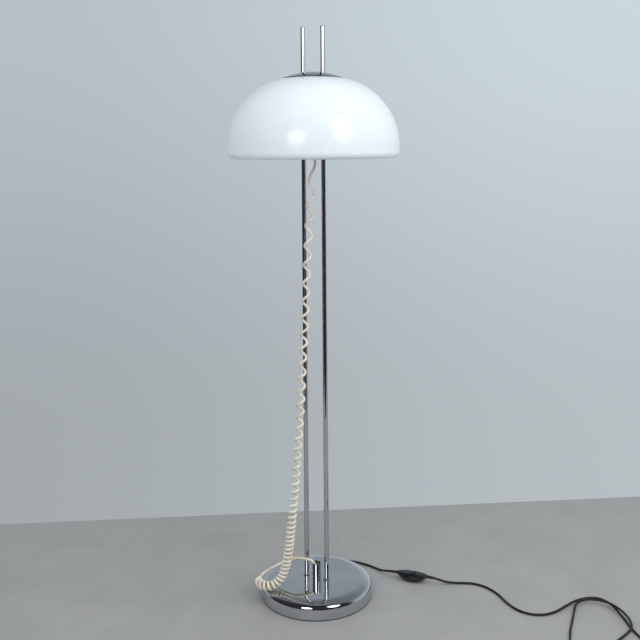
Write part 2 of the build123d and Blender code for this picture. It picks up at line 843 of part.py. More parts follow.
with BuildPart() as lampholder_bracket:
    with BuildSketch(Plane.XY.offset(bracket_bottom)):
        Rectangle(bracket_length, bracket_depth)
        with Locations(*rod_places):
            Circle(rod_hole_radius, mode=Mode.SUBTRACT)
        with GridLocations(slider_screw_spacing_x, slider_screw_spacing_y, 2, 2):
            Circle(slider_screw_diameter / 2 + part_clearance, mode=Mode.SUBTRACT)
        with Locations(gland_place):
            Circle(gland_neck_diameter / 2 + part_clearance, mode=Mode.SUBTRACT)
        with Locations((-lamp_wire_spread, gland_place[1]), (lamp_wire_spread, gland_place[1])):
            Circle(lamp_wire_diameter / 2 + rod_hole_clearance, mode=Mode.SUBTRACT)
    extrude(amount=bracket_thickness)
    for side in (-1, 1):
        with BuildSketch(Plane.YZ.offset(side * half_bracket)):
            with Locations((0, bracket_bottom)):
                Rectangle(bracket_leg_width, bracket_leg_height, align=(Align.CENTER, Align.MAX))
            with Locations((0, holder_axis_z)):
                Circle(nipple_diameter / 2 + part_clearance, mode=Mode.SUBTRACT)
        extrude(amount=-side * bracket_thickness)
lampholder_bracket.part.label = "lampholder_bracket"
export_step(lampholder_bracket.part, "parts/lampholder_bracket.step")

bracket_screw = screw(slider_screw_head, bracket_screw_head_height, slider_screw_diameter,
                      bracket_thickness + bracket_screw_length - part_clearance)
with BuildPart(Plane(origin=(0, 0, bracket_bottom), z_dir=(0, 0, -1))) as bracket_screws:
    with GridLocations(slider_screw_spacing_x, slider_screw_spacing_y, 2, 2):
        add(bracket_screw)
bracket_screws.part.label = "bracket_screws"
export_step(bracket_screws.part, "parts/bracket_screws.step")

for side, holder_name in ((-1, "lampholder_left"), (1, "lampholder_right")):
    outward = Plane(origin=(side * half_bracket, 0, holder_axis_z), z_dir=(side, 0, 0))
    with BuildPart(outward) as lampholder:
        Cylinder(holder_diameter / 2, holder_length, align=(Align.CENTER, Align.CENTER, Align.MIN))
        fillet(lampholder.edges().filter_by(GeomType.CIRCLE), holder_rounding)
        Cylinder(nipple_diameter / 2, nipple_length, align=(Align.CENTER, Align.CENTER, Align.MAX))
        with Locations((0, 0, holder_length)):
            Hole(holder_bore / 2, holder_length - holder_floor)
            Hole(nipple_bore / 2, holder_length + nipple_length)
    lampholder.part.label = holder_name
    export_step(lampholder.part, f"parts/{holder_name}.step")

with BuildPart() as nipple_nuts:
    with BuildSketch(Plane.YZ.offset(half_bracket - bracket_thickness)):
        with Locations((0, holder_axis_z)):
            RegularPolygon(nipple_nut_flats / 2, 6, major_radius=False)
            Circle(nipple_diameter / 2 + thread_clearance, mode=Mode.SUBTRACT)
    extrude(amount=-nipple_nut_height)
    mirror(about=Plane.YZ)
nipple_nuts.part.label = "nipple_nuts"
export_step(nipple_nuts.part, "parts/nipple_nuts.step")

holder_axis = Axis((0, 0, holder_axis_z), (1, 0, 0))
along_holder = Plane(origin=(0, 0, holder_axis_z), x_dir=(1, 0, 0), z_dir=(0, -1, 0))
contact_start = half_bracket + holder_floor
base_start = contact_start + bulb_contact_height
base_end = base_start + bulb_base_length
neck_end = base_end + bulb_neck_length
bulb_middle = contact_start + bulb_length + bulb_contact_height - bulb_diameter / 2

with BuildPart() as bulb_contacts:
    with BuildSketch(Plane.YZ.offset(contact_start)):
        with Locations((0, holder_axis_z)):
            Circle(bulb_contact_diameter / 2)
    extrude(amount=bulb_contact_height)
    mirror(about=Plane.YZ)
bulb_contacts.part.label = "bulb_contacts"
export_step(bulb_contacts.part, "parts/bulb_contacts.step")

neck_radius = bulb_neck_diameter / 2
glass_seat = base_end - bulb_neck_length
with BuildPart() as bulb_bases:
    with BuildSketch(along_holder):
        with BuildLine():
            Polyline((base_start, 0), (base_start, bulb_base_diameter / 2 - bulb_contact_height),
                     (base_start + bulb_contact_height, bulb_base_diameter / 2),
                     (base_end, bulb_base_diameter / 2), (base_end, neck_radius + thread_clearance),
                     (glass_seat, neck_radius + thread_clearance), (glass_seat, 0), close=True)
        make_face()
    revolve(axis=holder_axis)
    mirror(about=Plane.YZ)
bulb_bases.part.label = "bulb_bases"
export_step(bulb_bases.part, "parts/bulb_bases.step")

bulb_radius = bulb_diameter / 2
throat_run = bulb_middle - neck_end
throat_radius = (throat_run ** 2 + neck_radius ** 2 - bulb_radius ** 2) / (2 * (bulb_radius - neck_radius))
throat_angle = degrees(atan2(neck_radius + throat_radius, throat_run))


def bulb_outline(inset):
    """Half outline of the glass: neck, throat and ball."""
    Line((glass_seat, neck_radius - inset), (neck_end, neck_radius - inset))
    CenterArc((neck_end, neck_radius + throat_radius), throat_radius + inset, -90, 90 - throat_angle)
    CenterArc((bulb_middle, 0), bulb_radius - inset, 0, 180 - throat_angle)


with BuildPart() as bulb_glasses:
    with BuildSketch(along_holder):
        with BuildLine():
            bulb_outline(0)
            bulb_outline(bulb_glass_wall)
            Line((glass_seat, neck_radius - bulb_glass_wall), (glass_seat, neck_radius))
            Line((bulb_middle + bulb_radius - bulb_glass_wall, 0), (bulb_middle + bulb_radius, 0))
        make_face()
    revolve(axis=holder_axis)
    mirror(about=Plane.YZ)
bulb_glasses.part.label = "bulb_glasses"
export_step(bulb_glasses.part, "parts/bulb_glasses.step")

with BuildPart(Plane(origin=(*gland_place, gland_bottom))) as cord_gland:
    Cylinder(gland_diameter / 2, bracket_bottom - gland_bottom,
             align=(Align.CENTER, Align.CENTER, Align.MIN))
    fillet(cord_gland.edges().filter_by(GeomType.CIRCLE).sort_by(Axis.Z)[0], gland_nut_height / 2)
    gland_top = bracket_bottom + bracket_thickness + gland_nut_height
    Cylinder(gland_neck_diameter / 2, gland_top - gland_bottom,
             align=(Align.CENTER, Align.CENTER, Align.MIN))
    Cylinder(curly_radius + cord_clearance, gland_seat_depth,
             align=(Align.CENTER, Align.CENTER, Align.MIN), mode=Mode.SUBTRACT)
cord_gland.part.label = "cord_gland"
export_step(cord_gland.part, "parts/cord_gland.step")

with BuildPart() as gland_nut:
    with BuildSketch(Plane.XY.offset(bracket_bottom + bracket_thickness)):
        with Locations(gland_place):
            Circle(gland_nut_diameter / 2)
            Circle(gland_neck_diameter / 2 + thread_clearance, mode=Mode.SUBTRACT)
    extrude(amount=gland_nut_height)
gland_nut.part.label = "gland_nut"
export_step(gland_nut.part, "parts/gland_nut.step")


def bent_wire(points, radius):
    """The solid of a thin wire laid with equal bends."""
    with BuildLine() as line:
        FilletPolyline(*points, radius=wire_bend)
    return tube_along(line.wires()[0], radius)


with BuildPart() as lamp_wires:
    for side in (-1, 1):
        wire_x = gland_place[0] + side * lamp_wire_diameter * 2 / 3
        wire_top = gland_top + lamp_wire_rise
        spread = side * lamp_wire_spread
        add(bent_wire([(wire_x, gland_place[1], gland_top), (wire_x, gland_place[1], wire_top),
                       (spread, gland_place[1], wire_top), (spread, gland_place[1], holder_axis_z),
                       (spread, 0, holder_axis_z), (side * contact_start, 0, holder_axis_z)],
                      lamp_wire_diameter / 2))
lamp_wires.part.label = "lamp_wires"
export_step(lamp_wires.part, "parts/lamp_wires.step")


# Wiring inside the base

with BuildPart(back_of_base) as lead_grommet:
    grommet_align = (Align.CENTER, Align.CENTER, Align.MIN)
    grommet_inner_face = -cover_wall - 2 * cord_clearance
    Cylinder(grommet_flange_diameter / 2, grommet_flange_thickness, align=grommet_align)
    grommet_rims = lead_grommet.edges().filter_by(GeomType.CIRCLE).sort_by(Axis.Y)
    fillet(grommet_rims[-1], grommet_flange_thickness / 3)
    with Locations((0, 0, grommet_inner_face)):
        Cylinder(grommet_body_diameter / 2, -grommet_inner_face, align=grommet_align)
        Cylinder(grommet_flange_diameter / 2, grommet_inner_thickness,
                 align=(Align.CENTER, Align.CENTER, Align.MAX))
    with Locations((0, 0, grommet_flange_thickness)):
        Hole(lead_radius + cord_clearance)
lead_grommet.part.label = "lead_grommet"
export_step(lead_grommet.part, "parts/lead_grommet.step")

with BuildPart(back_of_base.offset(grommet_flange_thickness)) as lead_inner_end:
    Cylinder(lead_radius, base_radius + grommet_flange_thickness - lead_tail_end,
             align=(Align.CENTER, Align.CENTER, Align.MAX))
lead_inner_end.part.label = "lead_inner_end"
export_step(lead_inner_end.part, "parts/lead_inner_end.step")

with BuildPart(Plane(origin=(0, lead_clamp_start, base_plate_top))) as lead_clamp:
    Box(lead_clamp_width, lead_clamp_length, lead_clamp_height,
        align=(Align.CENTER, Align.MIN, Align.MIN))
    fillet(lead_clamp.edges().filter_by(Axis.Y).group_by(Axis.Z)[-1], switch_rounding)
    with BuildSketch(Plane.XZ.offset(-lead_clamp_start)):
        with Locations((0, lead_exit_height)):
            Circle(lead_radius + cord_clearance)
    extrude(amount=-lead_clamp_length, mode=Mode.SUBTRACT)
lead_clamp.part.label = "lead_clamp"
export_step(lead_clamp.part, "parts/lead_clamp.step")

pole_places = [(side * terminal_pole_spacing / 2, lead_exit_height) for side in (-1, 1)]
terminal_front = Plane.XZ.offset(-terminal_start)
screw_setback = terminal_length / 4
terminal_screw_places = [(x, y) for x, _ in pole_places
                         for y in (terminal_start + screw_setback,
                                   terminal_start + terminal_length - screw_setback)]

with BuildPart() as terminal_block:
    with BuildSketch(Plane.XY.offset(base_plate_top)):
        with Locations((0, terminal_start)):
            Rectangle(terminal_width, terminal_length, align=(Align.CENTER, Align.MIN))
    extrude(amount=terminal_height)
    with BuildSketch(terminal_front):
        with Locations(*pole_places):
            Circle(terminal_insert_diameter / 2 + thread_clearance)
    extrude(amount=-terminal_length, mode=Mode.SUBTRACT)
    with Locations(*[(x, y, base_plate_top + terminal_height) for x, y in terminal_screw_places]):
        Hole(terminal_screw_diameter / 2 + part_clearance, terminal_height / 2)
terminal_block.part.label = "terminal_block"
export_step(terminal_block.part, "parts/terminal_block.step")

with BuildPart() as terminal_inserts:
    with BuildSketch(terminal_front):
        with Locations(*pole_places):
            Circle(terminal_insert_diameter / 2)
            Circle(terminal_insert_bore / 2, mode=Mode.SUBTRACT)
    extrude(amount=-terminal_length)
    with Locations(*[(x, y, base_plate_top + terminal_height) for x, y in terminal_screw_places]):
        Hole(terminal_screw_diameter / 2 + thread_clearance, terminal_height / 2)
terminal_inserts.part.label = "terminal_inserts"
export_step(terminal_inserts.part, "parts/terminal_inserts.step")

terminal_screw_bottom = lead_exit_height + wire_radius + thread_clearance
with BuildPart(Plane.XY.offset(terminal_screw_bottom)) as terminal_screws:
    with Locations(*terminal_screw_places):
        Cylinder(terminal_screw_diameter / 2, terminal_height / 3,
                 align=(Align.CENTER, Align.CENTER, Align.MIN))
terminal_screws.part.label = "terminal_screws"
export_step(terminal_screws.part, "parts/terminal_screws.step")

cord_foot = curly_points[-1]
with BuildPart(Plane.XY.offset(base_plate_top)) as cord_clamp:
    with Locations(cord_foot[:2]):
        Box(cord_clamp_size, cord_clamp_size, cord_foot[2] - base_plate_top,
            align=(Align.CENTER, Align.CENTER, Align.MIN))
    fillet(cord_clamp.edges().filter_by(Axis.Z), rod_hole_clearance)
cord_clamp.part.label = "cord_clamp"
export_step(cord_clamp.part, "parts/cord_clamp.step")

for side, wires_name in ((-1, "base_wires_brown"), (1, "base_wires_blue")):
    clamp_x = cord_foot[0] + side * wire_spacing / 2
    clamp_y = cord_foot[1] + cord_clamp_size / 2
    pole_x = side * terminal_pole_spacing / 2
    lead_x = side * wire_spacing / 2
    terminal_end = terminal_start + terminal_length
    with BuildPart() as base_wires:
        for near_x, near_y, far_x, far_y in (
                (clamp_x, clamp_y, pole_x, terminal_start + wire_bend),
                (pole_x, terminal_end - wire_bend, lead_x, lead_tail_end)):
            quarter_run = (far_y - near_y) / 3
            add(bent_wire([(near_x, near_y, lead_exit_height),
                           (near_x, near_y + quarter_run, lead_exit_height),
                           (far_x, far_y - quarter_run, lead_exit_height),
                           (far_x, far_y, lead_exit_height)], wire_radius))
    base_wires.part.label = wires_name
    export_step(base_wires.part, f"parts/{wires_name}.step")


# Mains lead, its switch and its plug

report_route("lead_base_to_switch", lead_points_base_to_switch)
base_to_switch_route = route_wire(lead_points_base_to_switch)
with BuildPart() as lead_base_to_switch:
    add(tube_along(base_to_switch_route, lead_radius))
report_tube("lead_base_to_switch", lead_base_to_switch.part, base_to_switch_route.length, lead_radius)
lead_base_to_switch.part.label = "lead_base_to_switch"
export_step(lead_base_to_switch.part, "parts/lead_base_to_switch.step")

report_route("lead_switch_to_coil", lead_points_switch_to_coil)
switch_to_coil_route = route_wire(lead_points_switch_to_coil)
with BuildPart() as lead_switch_to_coil:
    add(tube_along(switch_to_coil_route, lead_radius))
report_tube("lead_switch_to_coil", lead_switch_to_coil.part, switch_to_coil_route.length, lead_radius)
nearest = least_gap(switch_to_coil_route, lead_radius, 4 * lead_diameter)
print(f"lead_switch_to_coil: least gap {nearest:.2f}")
lead_switch_to_coil.part.label = "lead_switch_to_coil"
export_step(lead_switch_to_coil.part, "parts/lead_switch_to_coil.step")

coil_start = Vector(*lead_points_switch_to_coil[-1])
coil_heading = (coil_start - Vector(*lead_points_switch_to_coil[-2])).normalized()
coil_outward = Vector(-coil_heading.Y, coil_heading.X, 0)
coil_center = coil_start - coil_outward * coil_outer_radius
coil_places = []
coil_headings = []
for quarter in range(int(4 * coil_turns) + 1):
    turn = quarter / 4
    outward = coil_outward.rotate(Axis.Z, -90 * quarter)
    onward = coil_heading.rotate(Axis.Z, -90 * quarter)
    layer_radius = coil_outer_radius - coil_step_in * (coil_turns_in - abs(turn - coil_turns_in))
    climbed = min(max((turn - coil_turns_in) / coil_climb_turns + 0.5, 0), 1)
    rising = 0 < climbed < 1
    drift = 0 if turn in (0, coil_turns_in, coil_turns) else (1 if turn > coil_turns_in else -1)
    coil_places.append(coil_center + outward * layer_radius + Vector(0, 0, coil_step_up * climbed))
    coil_headings.append((onward * 2 * pi * layer_radius + outward * drift * coil_step_in
                          + Vector(0, 0, coil_step_up / coil_climb_turns * rising)).normalized())
coil_places.append(coil_places[-1] + coil_headings[-1] * coil_exit_run)
coil_headings.append(coil_headings[-1])
coil_route = biarc_wire(coil_places, coil_headings)
with BuildPart() as lead_coil:
    add(tube_along(coil_route, lead_radius))
report_tube("lead_coil", lead_coil.part, coil_route.length, lead_radius)
print(f"lead_coil: least gap {least_gap(coil_route, lead_radius, 4 * lead_diameter):.2f}")
lead_coil.part.label = "lead_coil"
export_step(lead_coil.part, "parts/lead_coil.step")

plug_plane = Plane(origin=coil_places[-1], x_dir=coil_headings[-1], z_dir=(0, 0, 1))
with BuildPart(plug_plane) as plug_body:
    with BuildSketch(plug_plane.offset(-plug_thickness / 2)):
        Polygon((0, -plug_nose_width / 2), (plug_nose_length, -plug_width / 2),
                (plug_length, -plug_width / 2), (plug_length, plug_width / 2),
                (plug_nose_length, plug_width / 2), (0, plug_nose_width / 2), align=None)
    extrude(amount=plug_thickness)
    fillet(plug_body.edges(), plug_rounding)
    with BuildSketch(Plane(origin=plug_plane.from_local_coords((plug_length, 0, 0)), x_dir=plug_plane.y_dir,
                           z_dir=plug_plane.x_dir)):
        with Locations((-plug_pin_spacing / 2, 0), (plug_pin_spacing / 2, 0)):
            Circle(plug_pin_diameter / 2 + thread_clearance)
    extrude(amount=-plug_pin_root, mode=Mode.SUBTRACT)
plug_body.part.label = "plug_body"
export_step(plug_body.part, "parts/plug_body.step")

with BuildPart() as plug_pins:
    with BuildSketch(Plane(origin=plug_plane.from_local_coords((plug_length - plug_pin_root, 0, 0)),
                           x_dir=plug_plane.y_dir, z_dir=plug_plane.x_dir)):
        with Locations((-plug_pin_spacing / 2, 0), (plug_pin_spacing / 2, 0)):
            Circle(plug_pin_diameter / 2)
    extrude(amount=plug_pin_root + plug_pin_length)
    pin_rims = plug_pins.edges().filter_by(GeomType.CIRCLE)
    fillet(pin_rims.group_by(Axis(plug_plane.origin, plug_plane.x_dir))[-1],
           plug_pin_diameter / 4)
plug_pins.part.label = "plug_pins"
export_step(plug_pins.part, "parts/plug_pins.step")

switch_plane = Plane(origin=(*switch_center, 0),
                     x_dir=(cos(radians(switch_turn)), sin(radians(switch_turn)), 0), z_dir=(0, 0, 1))
half_switch = switch_length / 2
screw_post_places = [(-switch_screw_spacing / 2, 0), (switch_screw_spacing / 2, 0)]
switch_end_face = Plane(origin=switch_plane.from_local_coords((-half_switch, 0, switch_parting_height)),
                        x_dir=switch_plane.y_dir, z_dir=switch_plane.x_dir)


def switch_outline(inset):
    """Boat-shaped outline of the switch, seen from above."""
    end_x = half_switch - inset
    end_y = switch_end_width / 2 - inset
    middle_y = switch_width / 2 - inset
    ThreePointArc((-end_x, end_y), (0, middle_y), (end_x, end_y))
    Line((end_x, end_y), (end_x, -end_y))
    ThreePointArc((end_x, -end_y), (0, -middle_y), (-end_x, -end_y))
    Line((-end_x, -end_y), (-end_x, end_y))


with BuildPart() as switch_lower_case:
    with BuildSketch(switch_plane):
        with BuildLine():
            switch_outline(0)
        make_face()
    extrude(amount=switch_parting_height)
    fillet(switch_lower_case.edges().group_by(Axis.Z)[0], switch_rounding / 2)
    with BuildSketch(switch_plane.offset(switch_wall)):
        with BuildLine():
            switch_outline(switch_wall)
        make_face()
    extrude(amount=switch_parting_height, mode=Mode.SUBTRACT)
    with BuildSketch(switch_plane):
        with Locations(*screw_post_places):
            Circle(switch_post_diameter / 2)
    extrude(amount=switch_parting_height)
    with BuildSketch(switch_plane):
        with Locations(*screw_post_places):
            Circle(switch_screw_diameter / 2 + thread_clearance)
    extrude(amount=switch_parting_height, mode=Mode.SUBTRACT)
    with BuildSketch(switch_plane):
        with Locations(*screw_post_places):
            Circle(switch_screw_head / 2 + part_clearance)
    extrude(amount=switch_wall, mode=Mode.SUBTRACT)
    with BuildSketch(switch_end_face):
        Circle(lead_radius + cord_clearance)
    extrude(amount=switch_lead_grip, mode=Mode.SUBTRACT)
    with BuildSketch(switch_end_face.offset(switch_length)):
        Circle(lead_radius + cord_clearance)
    extrude(amount=-switch_lead_grip, mode=Mode.SUBTRACT)
switch_lower_case.part.label = "switch_lower_case"
export_step(switch_lower_case.part, "parts/switch_lower_case.step")

rocker_space = rocker_width / 2 + part_clearance
pin_half_length = rocker_space + rocker_boss_width
pin_axis_plane = Plane(origin=switch_plane.from_local_coords((0, 0, rocker_pin_height)),
                       x_dir=switch_plane.x_dir, z_dir=-switch_plane.y_dir)

with BuildPart() as switch_upper_case:
    with BuildSketch(switch_plane.offset(switch_parting_height)):
        with BuildLine():
            switch_outline(0)
        make_face()
    extrude(amount=switch_height - switch_parting_height)
    fillet(switch_upper_case.edges().group_by(Axis.Z)[-1], switch_rounding)
    with BuildSketch(switch_plane.offset(switch_parting_height)):
        with BuildLine():
            switch_outline(switch_wall)
        make_face()
    extrude(amount=switch_height - switch_parting_height - switch_wall, mode=Mode.SUBTRACT)
    with BuildSketch(switch_plane.offset(switch_parting_height)):
        with Locations(*screw_post_places):
            Circle(switch_post_diameter / 2)
    extrude(amount=switch_height - switch_parting_height - switch_wall)
    with BuildSketch(switch_plane.offset(rocker_boss_bottom)):
        with Locations(*[(0, side * (rocker_space + rocker_boss_width / 2)) for side in (-1, 1)]):
            Rectangle(rocker_boss_size, rocker_boss_width)
    extrude(amount=switch_height - switch_wall - rocker_boss_bottom)
    with BuildSketch(pin_axis_plane):
        Circle(rocker_pin_diameter / 2 + thread_clearance)
    extrude(amount=pin_half_length, both=True, mode=Mode.SUBTRACT)
    with BuildSketch(switch_plane.offset(switch_parting_height)):
        with Locations(*screw_post_places):
            Circle(switch_screw_diameter / 2 + thread_clearance)
    extrude(amount=switch_screw_length - switch_parting_height, mode=Mode.SUBTRACT)
    with BuildSketch(switch_plane.offset(switch_parting_height)):
        Rectangle(rocker_length + 2 * rocker_clearance, rocker_width + 2 * part_clearance)
    extrude(amount=switch_height, mode=Mode.SUBTRACT)
    with BuildSketch(switch_end_face):
        Circle(lead_radius + cord_clearance)
    extrude(amount=switch_lead_grip, mode=Mode.SUBTRACT)
    with BuildSketch(switch_end_face.offset(switch_length)):
        Circle(lead_radius + cord_clearance)
    extrude(amount=-switch_lead_grip, mode=Mode.SUBTRACT)
switch_upper_case.part.label = "switch_upper_case"
export_step(switch_upper_case.part, "parts/switch_upper_case.step")

switch_screw = screw(switch_screw_head, switch_wall - part_clearance, switch_screw_diameter,
                     switch_screw_length - switch_wall - part_clearance)
screws_plane = Plane(origin=switch_plane.from_local_coords((0, 0, switch_wall)),
                     x_dir=switch_plane.x_dir, z_dir=(0, 0, -1))
with BuildPart(screws_plane) as switch_screws:
    with Locations(*screw_post_places):
        add(switch_screw)
switch_screws.part.label = "switch_screws"
export_step(switch_screws.part, "parts/switch_screws.step")

with BuildPart() as switch_contacts:
    with BuildSketch(switch_plane.offset(contact_height)):
        with Locations((0, -contact_spacing / 2), (0, contact_spacing / 2)):
            Rectangle(contact_length, contact_width)
    extrude(amount=contact_thickness)
    with BuildSketch(switch_plane.offset(switch_wall)):
        with Locations((0, -contact_spacing / 2), (0, contact_spacing / 2)):
            Rectangle(contact_thickness, contact_width)
    extrude(amount=contact_height - switch_wall)
switch_contacts.part.label = "switch_contacts"
export_step(switch_contacts.part, "parts/switch_contacts.step")

with BuildPart() as switch_lead_ends:
    with BuildSketch(switch_end_face):
        Circle(lead_radius)
    extrude(amount=switch_lead_grip)
    with BuildSketch(switch_end_face.offset(switch_length)):
        Circle(lead_radius)
    extrude(amount=-switch_lead_grip)
switch_lead_ends.part.label = "switch_lead_ends"
export_step(switch_lead_ends.part, "parts/switch_lead_ends.step")

with BuildPart() as rocker_pin:
    with BuildSketch(pin_axis_plane):
        Circle(rocker_pin_diameter / 2)
    extrude(amount=pin_half_length, both=True)
rocker_pin.part.label = "rocker_pin"
export_step(rocker_pin.part, "parts/rocker_pin.step")

with BuildPart() as rocker:
    lean = radians(rocker_tilt)
    tilted_plane = Plane(origin=pin_axis_plane.origin, z_dir=pin_axis_plane.z_dir,
                         x_dir=switch_plane.x_dir * cos(lean) + switch_plane.z_dir * sin(lean))
    rocker_top = switch_height + rocker_stand - rocker_pin_height
    with BuildSketch(tilted_plane):
        Polygon((-rocker_length / 2, rocker_top - rocker_depth),
                (rocker_length / 2, rocker_top - rocker_depth),
                (rocker_length / 2, rocker_top), (0, rocker_top - rocker_dip),
                (-rocker_length / 2, rocker_top), align=None)
        Circle(rocker_pin_diameter / 2 + running_clearance, mode=Mode.SUBTRACT)
    extrude(amount=rocker_width / 2, both=True)
rocker.part.label = "rocker"
export_step(rocker.part, "parts/rocker.step")


# Curly cord from the shade carriage down to the base

def smooth_step(share):
    share = min(max(share, 0), 1)
    return share * share * (3 - 2 * share)


curly_axis = route_wire(curly_points)


def curl_pitch(turn):
    """How far one turn carries the curls along: stretched above, closed below, eased at the end."""
    still_open = max(1 - turn / curl_opening_turns, 0)
    ending = smooth_step(1 - (curl_count - turn) / curl_lead_out)
    return (curl_pitch_closed + (curl_pitch_open - curl_pitch_closed) * still_open ** curl_opening_power
            + curl_pitch_ease * ending)


def curl_place(station, turn, sideways):
    """Where the wire is after so many turns, and the sideways direction there."""
    ahead = curly_axis % (station / curly_axis.length)
    sideways = (sideways - ahead * sideways.dot(ahead)).normalized()
    angle = radians(curl_start_angle + 360 * turn)
    radius = (curl_radius_open + (curl_radius_closed - curl_radius_open)
              * smooth_step(turn / curl_opening_turns))
    radius *= smooth_step(turn / curl_lead_in) * smooth_step((curl_count - turn) / curl_lead_out)
    around = sideways * cos(angle) + ahead.cross(sideways) * sin(angle)
    return curly_axis @ (station / curly_axis.length) + around * radius, sideways


straight_end = 2 * curly_wire
stations = [(0, 0, 0), (straight_end, 0, 0)]
while stations[-1][0] + strand_step < curls_begin:
    stations.append((stations[-1][0] + strand_step, 0, 0))
station = curls_begin
turn = 0
while turn < curl_count:
    stations.append((station, turn, 1 / curl_pitch(turn)))
    near_end = turn < curl_lead_in or turn >= curl_count - curl_lead_out
    turn_step = 0.25 if near_end else 0.5
    station += turn_step * curl_pitch(turn + turn_step / 2)
    turn += turn_step
curls_end = station
while station < curly_axis.length - straight_end - strand_step / 2:
    stations.append((station, curl_count, 0))
    station += strand_step
stations += [(curly_axis.length - straight_end, curl_count, 0), (curly_axis.length, curl_count, 0)]

curly_places = []
curly_headings = []
sideways = Vector(cos(radians(curl_view_angle)), sin(radians(curl_view_angle)), 0)
for station, turn, turning in stations:
    place, sideways = curl_place(station, turn, sideways)
    step = min(strand_step / 100, curly_axis.length - station)
    step_back = min(strand_step / 100, station)
    ahead_place, _ = curl_place(station + step, turn + step * turning, sideways)
    back_place, _ = curl_place(station - step_back, turn - step_back * turning, sideways)
    curly_places.append(place)
    curly_headings.append((ahead_place - back_place).normalized())
curly_route = biarc_wire(curly_places, curly_headings)

with BuildPart() as curly_cord:
    add(tube_along(curly_route, curly_radius))
report_route("curly_cord axis", curly_points)
report_tube("curly_cord", curly_cord.part, curly_route.length, curly_radius)
tightest = min(edge.radius for edge in curly_route.edges() if edge.geom_type == GeomType.CIRCLE)
nearest = least_gap(curly_route, curly_radius, 4 * curly_wire)
print(f"curly_cord: axis {curly_axis.length:.0f}, tightest arc {tightest:.2f}, least gap {nearest:.2f}")
print(f"curly_cord: curls end at {curly_axis @ (curls_end / curly_axis.length)}")
curly_cord.part.label = "curly_cord"
export_step(curly_cord.part, "parts/curly_cord.step")
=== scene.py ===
import json
import math
import bpy
from mathutils import Matrix, Vector

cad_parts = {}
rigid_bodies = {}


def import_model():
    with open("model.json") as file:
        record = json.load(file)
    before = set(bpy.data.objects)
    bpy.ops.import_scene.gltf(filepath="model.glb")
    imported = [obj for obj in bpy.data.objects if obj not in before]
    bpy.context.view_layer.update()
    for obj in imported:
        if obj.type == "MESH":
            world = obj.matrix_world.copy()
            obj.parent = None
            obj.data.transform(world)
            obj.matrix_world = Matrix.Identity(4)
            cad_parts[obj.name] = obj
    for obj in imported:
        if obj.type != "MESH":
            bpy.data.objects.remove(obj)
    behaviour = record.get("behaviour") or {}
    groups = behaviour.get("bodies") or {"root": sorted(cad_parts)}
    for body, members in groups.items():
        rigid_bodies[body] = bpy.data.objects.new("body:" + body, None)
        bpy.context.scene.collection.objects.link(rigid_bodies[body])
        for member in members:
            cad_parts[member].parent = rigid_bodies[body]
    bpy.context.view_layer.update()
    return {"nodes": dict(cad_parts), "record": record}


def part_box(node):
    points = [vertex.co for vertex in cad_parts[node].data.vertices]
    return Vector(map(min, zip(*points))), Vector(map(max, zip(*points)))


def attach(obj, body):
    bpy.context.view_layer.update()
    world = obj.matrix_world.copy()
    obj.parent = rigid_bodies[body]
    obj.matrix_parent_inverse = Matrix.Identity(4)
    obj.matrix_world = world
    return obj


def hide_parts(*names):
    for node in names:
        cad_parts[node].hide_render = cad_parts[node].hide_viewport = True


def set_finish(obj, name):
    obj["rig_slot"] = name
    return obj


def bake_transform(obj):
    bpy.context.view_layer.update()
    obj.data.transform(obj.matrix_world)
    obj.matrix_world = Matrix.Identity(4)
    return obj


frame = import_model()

print("frame loaded:", len(frame["nodes"]), "nodes")

# Camera, set as the photograph was taken: looking level, with the picture shifted down and a slight
# roll. Places are in metres, lens and sensor in millimetres, angles in degrees.
camera = {
    "azimuth": 28.0,
    "distance": 2.198,
    "sideways": 0.016,
    "height": 1.095,
    "lens": 50.55,
    "sensor": 36.0,
    "shift": -0.2736,
    "roll": -0.45,
}


def placeCamera(facts):
    turn = math.radians(facts["azimuth"])
    right = Vector((math.cos(turn), math.sin(turn), 0))
    back = Vector((math.sin(turn), -math.cos(turn), 0))
    data = bpy.data.cameras.new("photoCamera")
    data.lens = facts["lens"]
    data.sensor_width = facts["sensor"]
    data.shift_y = facts["shift"]
    eye = bpy.data.objects.new("photoCamera", data)
    bpy.context.scene.collection.objects.link(eye)
    facing = Matrix((right, Vector((0, 0, 1)), back)).transposed().to_4x4()
    stand = back * facts["distance"] + right * facts["sideways"] + Vector((0, 0, facts["height"]))
    eye.matrix_world = Matrix.Translation(stand) @ facing @ Matrix.Rotation(
        math.radians(facts["roll"]), 4, "Z")
    bpy.context.scene.camera = eye
    return right, back


photoRight, photoBack = placeCamera(camera)
print("camera placed")

millimetre = 0.001


def clearSelection():
    if bpy.context.mode != "OBJECT":
        bpy.ops.object.mode_set(mode="OBJECT")
    bpy.ops.object.select_all(action="DESELECT")


def makeActive(piece):
    clearSelection()
    piece.select_set(True)
    bpy.context.view_layer.objects.active = piece


def applyPlace(piece):
    makeActive(piece)
    bpy.ops.object.transform_apply(location=True, rotation=True, scale=True)


def smooth(piece, angle):
    makeActive(piece)
    bpy.ops.object.shade_smooth_by_angle(angle=math.radians(angle))


def carve(piece, tool, name):
    cut = piece.modifiers.new(name, "BOOLEAN")
    cut.operation = "DIFFERENCE"
    cut.object = tool
    makeActive(piece)
    bpy.ops.object.modifier_apply(modifier=name)
    bpy.data.objects.remove(tool)


def metres(point):
    return Vector(point) * millimetre


def smoothStep(share):
    share = min(max(share, 0), 1)
    return share * share * (3 - 2 * share)


def stationsAlong(places):
    along = [0.0]
    for before, after in zip(places, places[1:]):
        along.append(along[-1] + (after - before).length)
    return along


# Cords: the part's routes in millimetres, with the lead laid over itself at its far loop
cordMesh = {"steps": 12, "sampleSteps": 16, "roundness": 4, "splineOrder": 3, "sharp": 60}


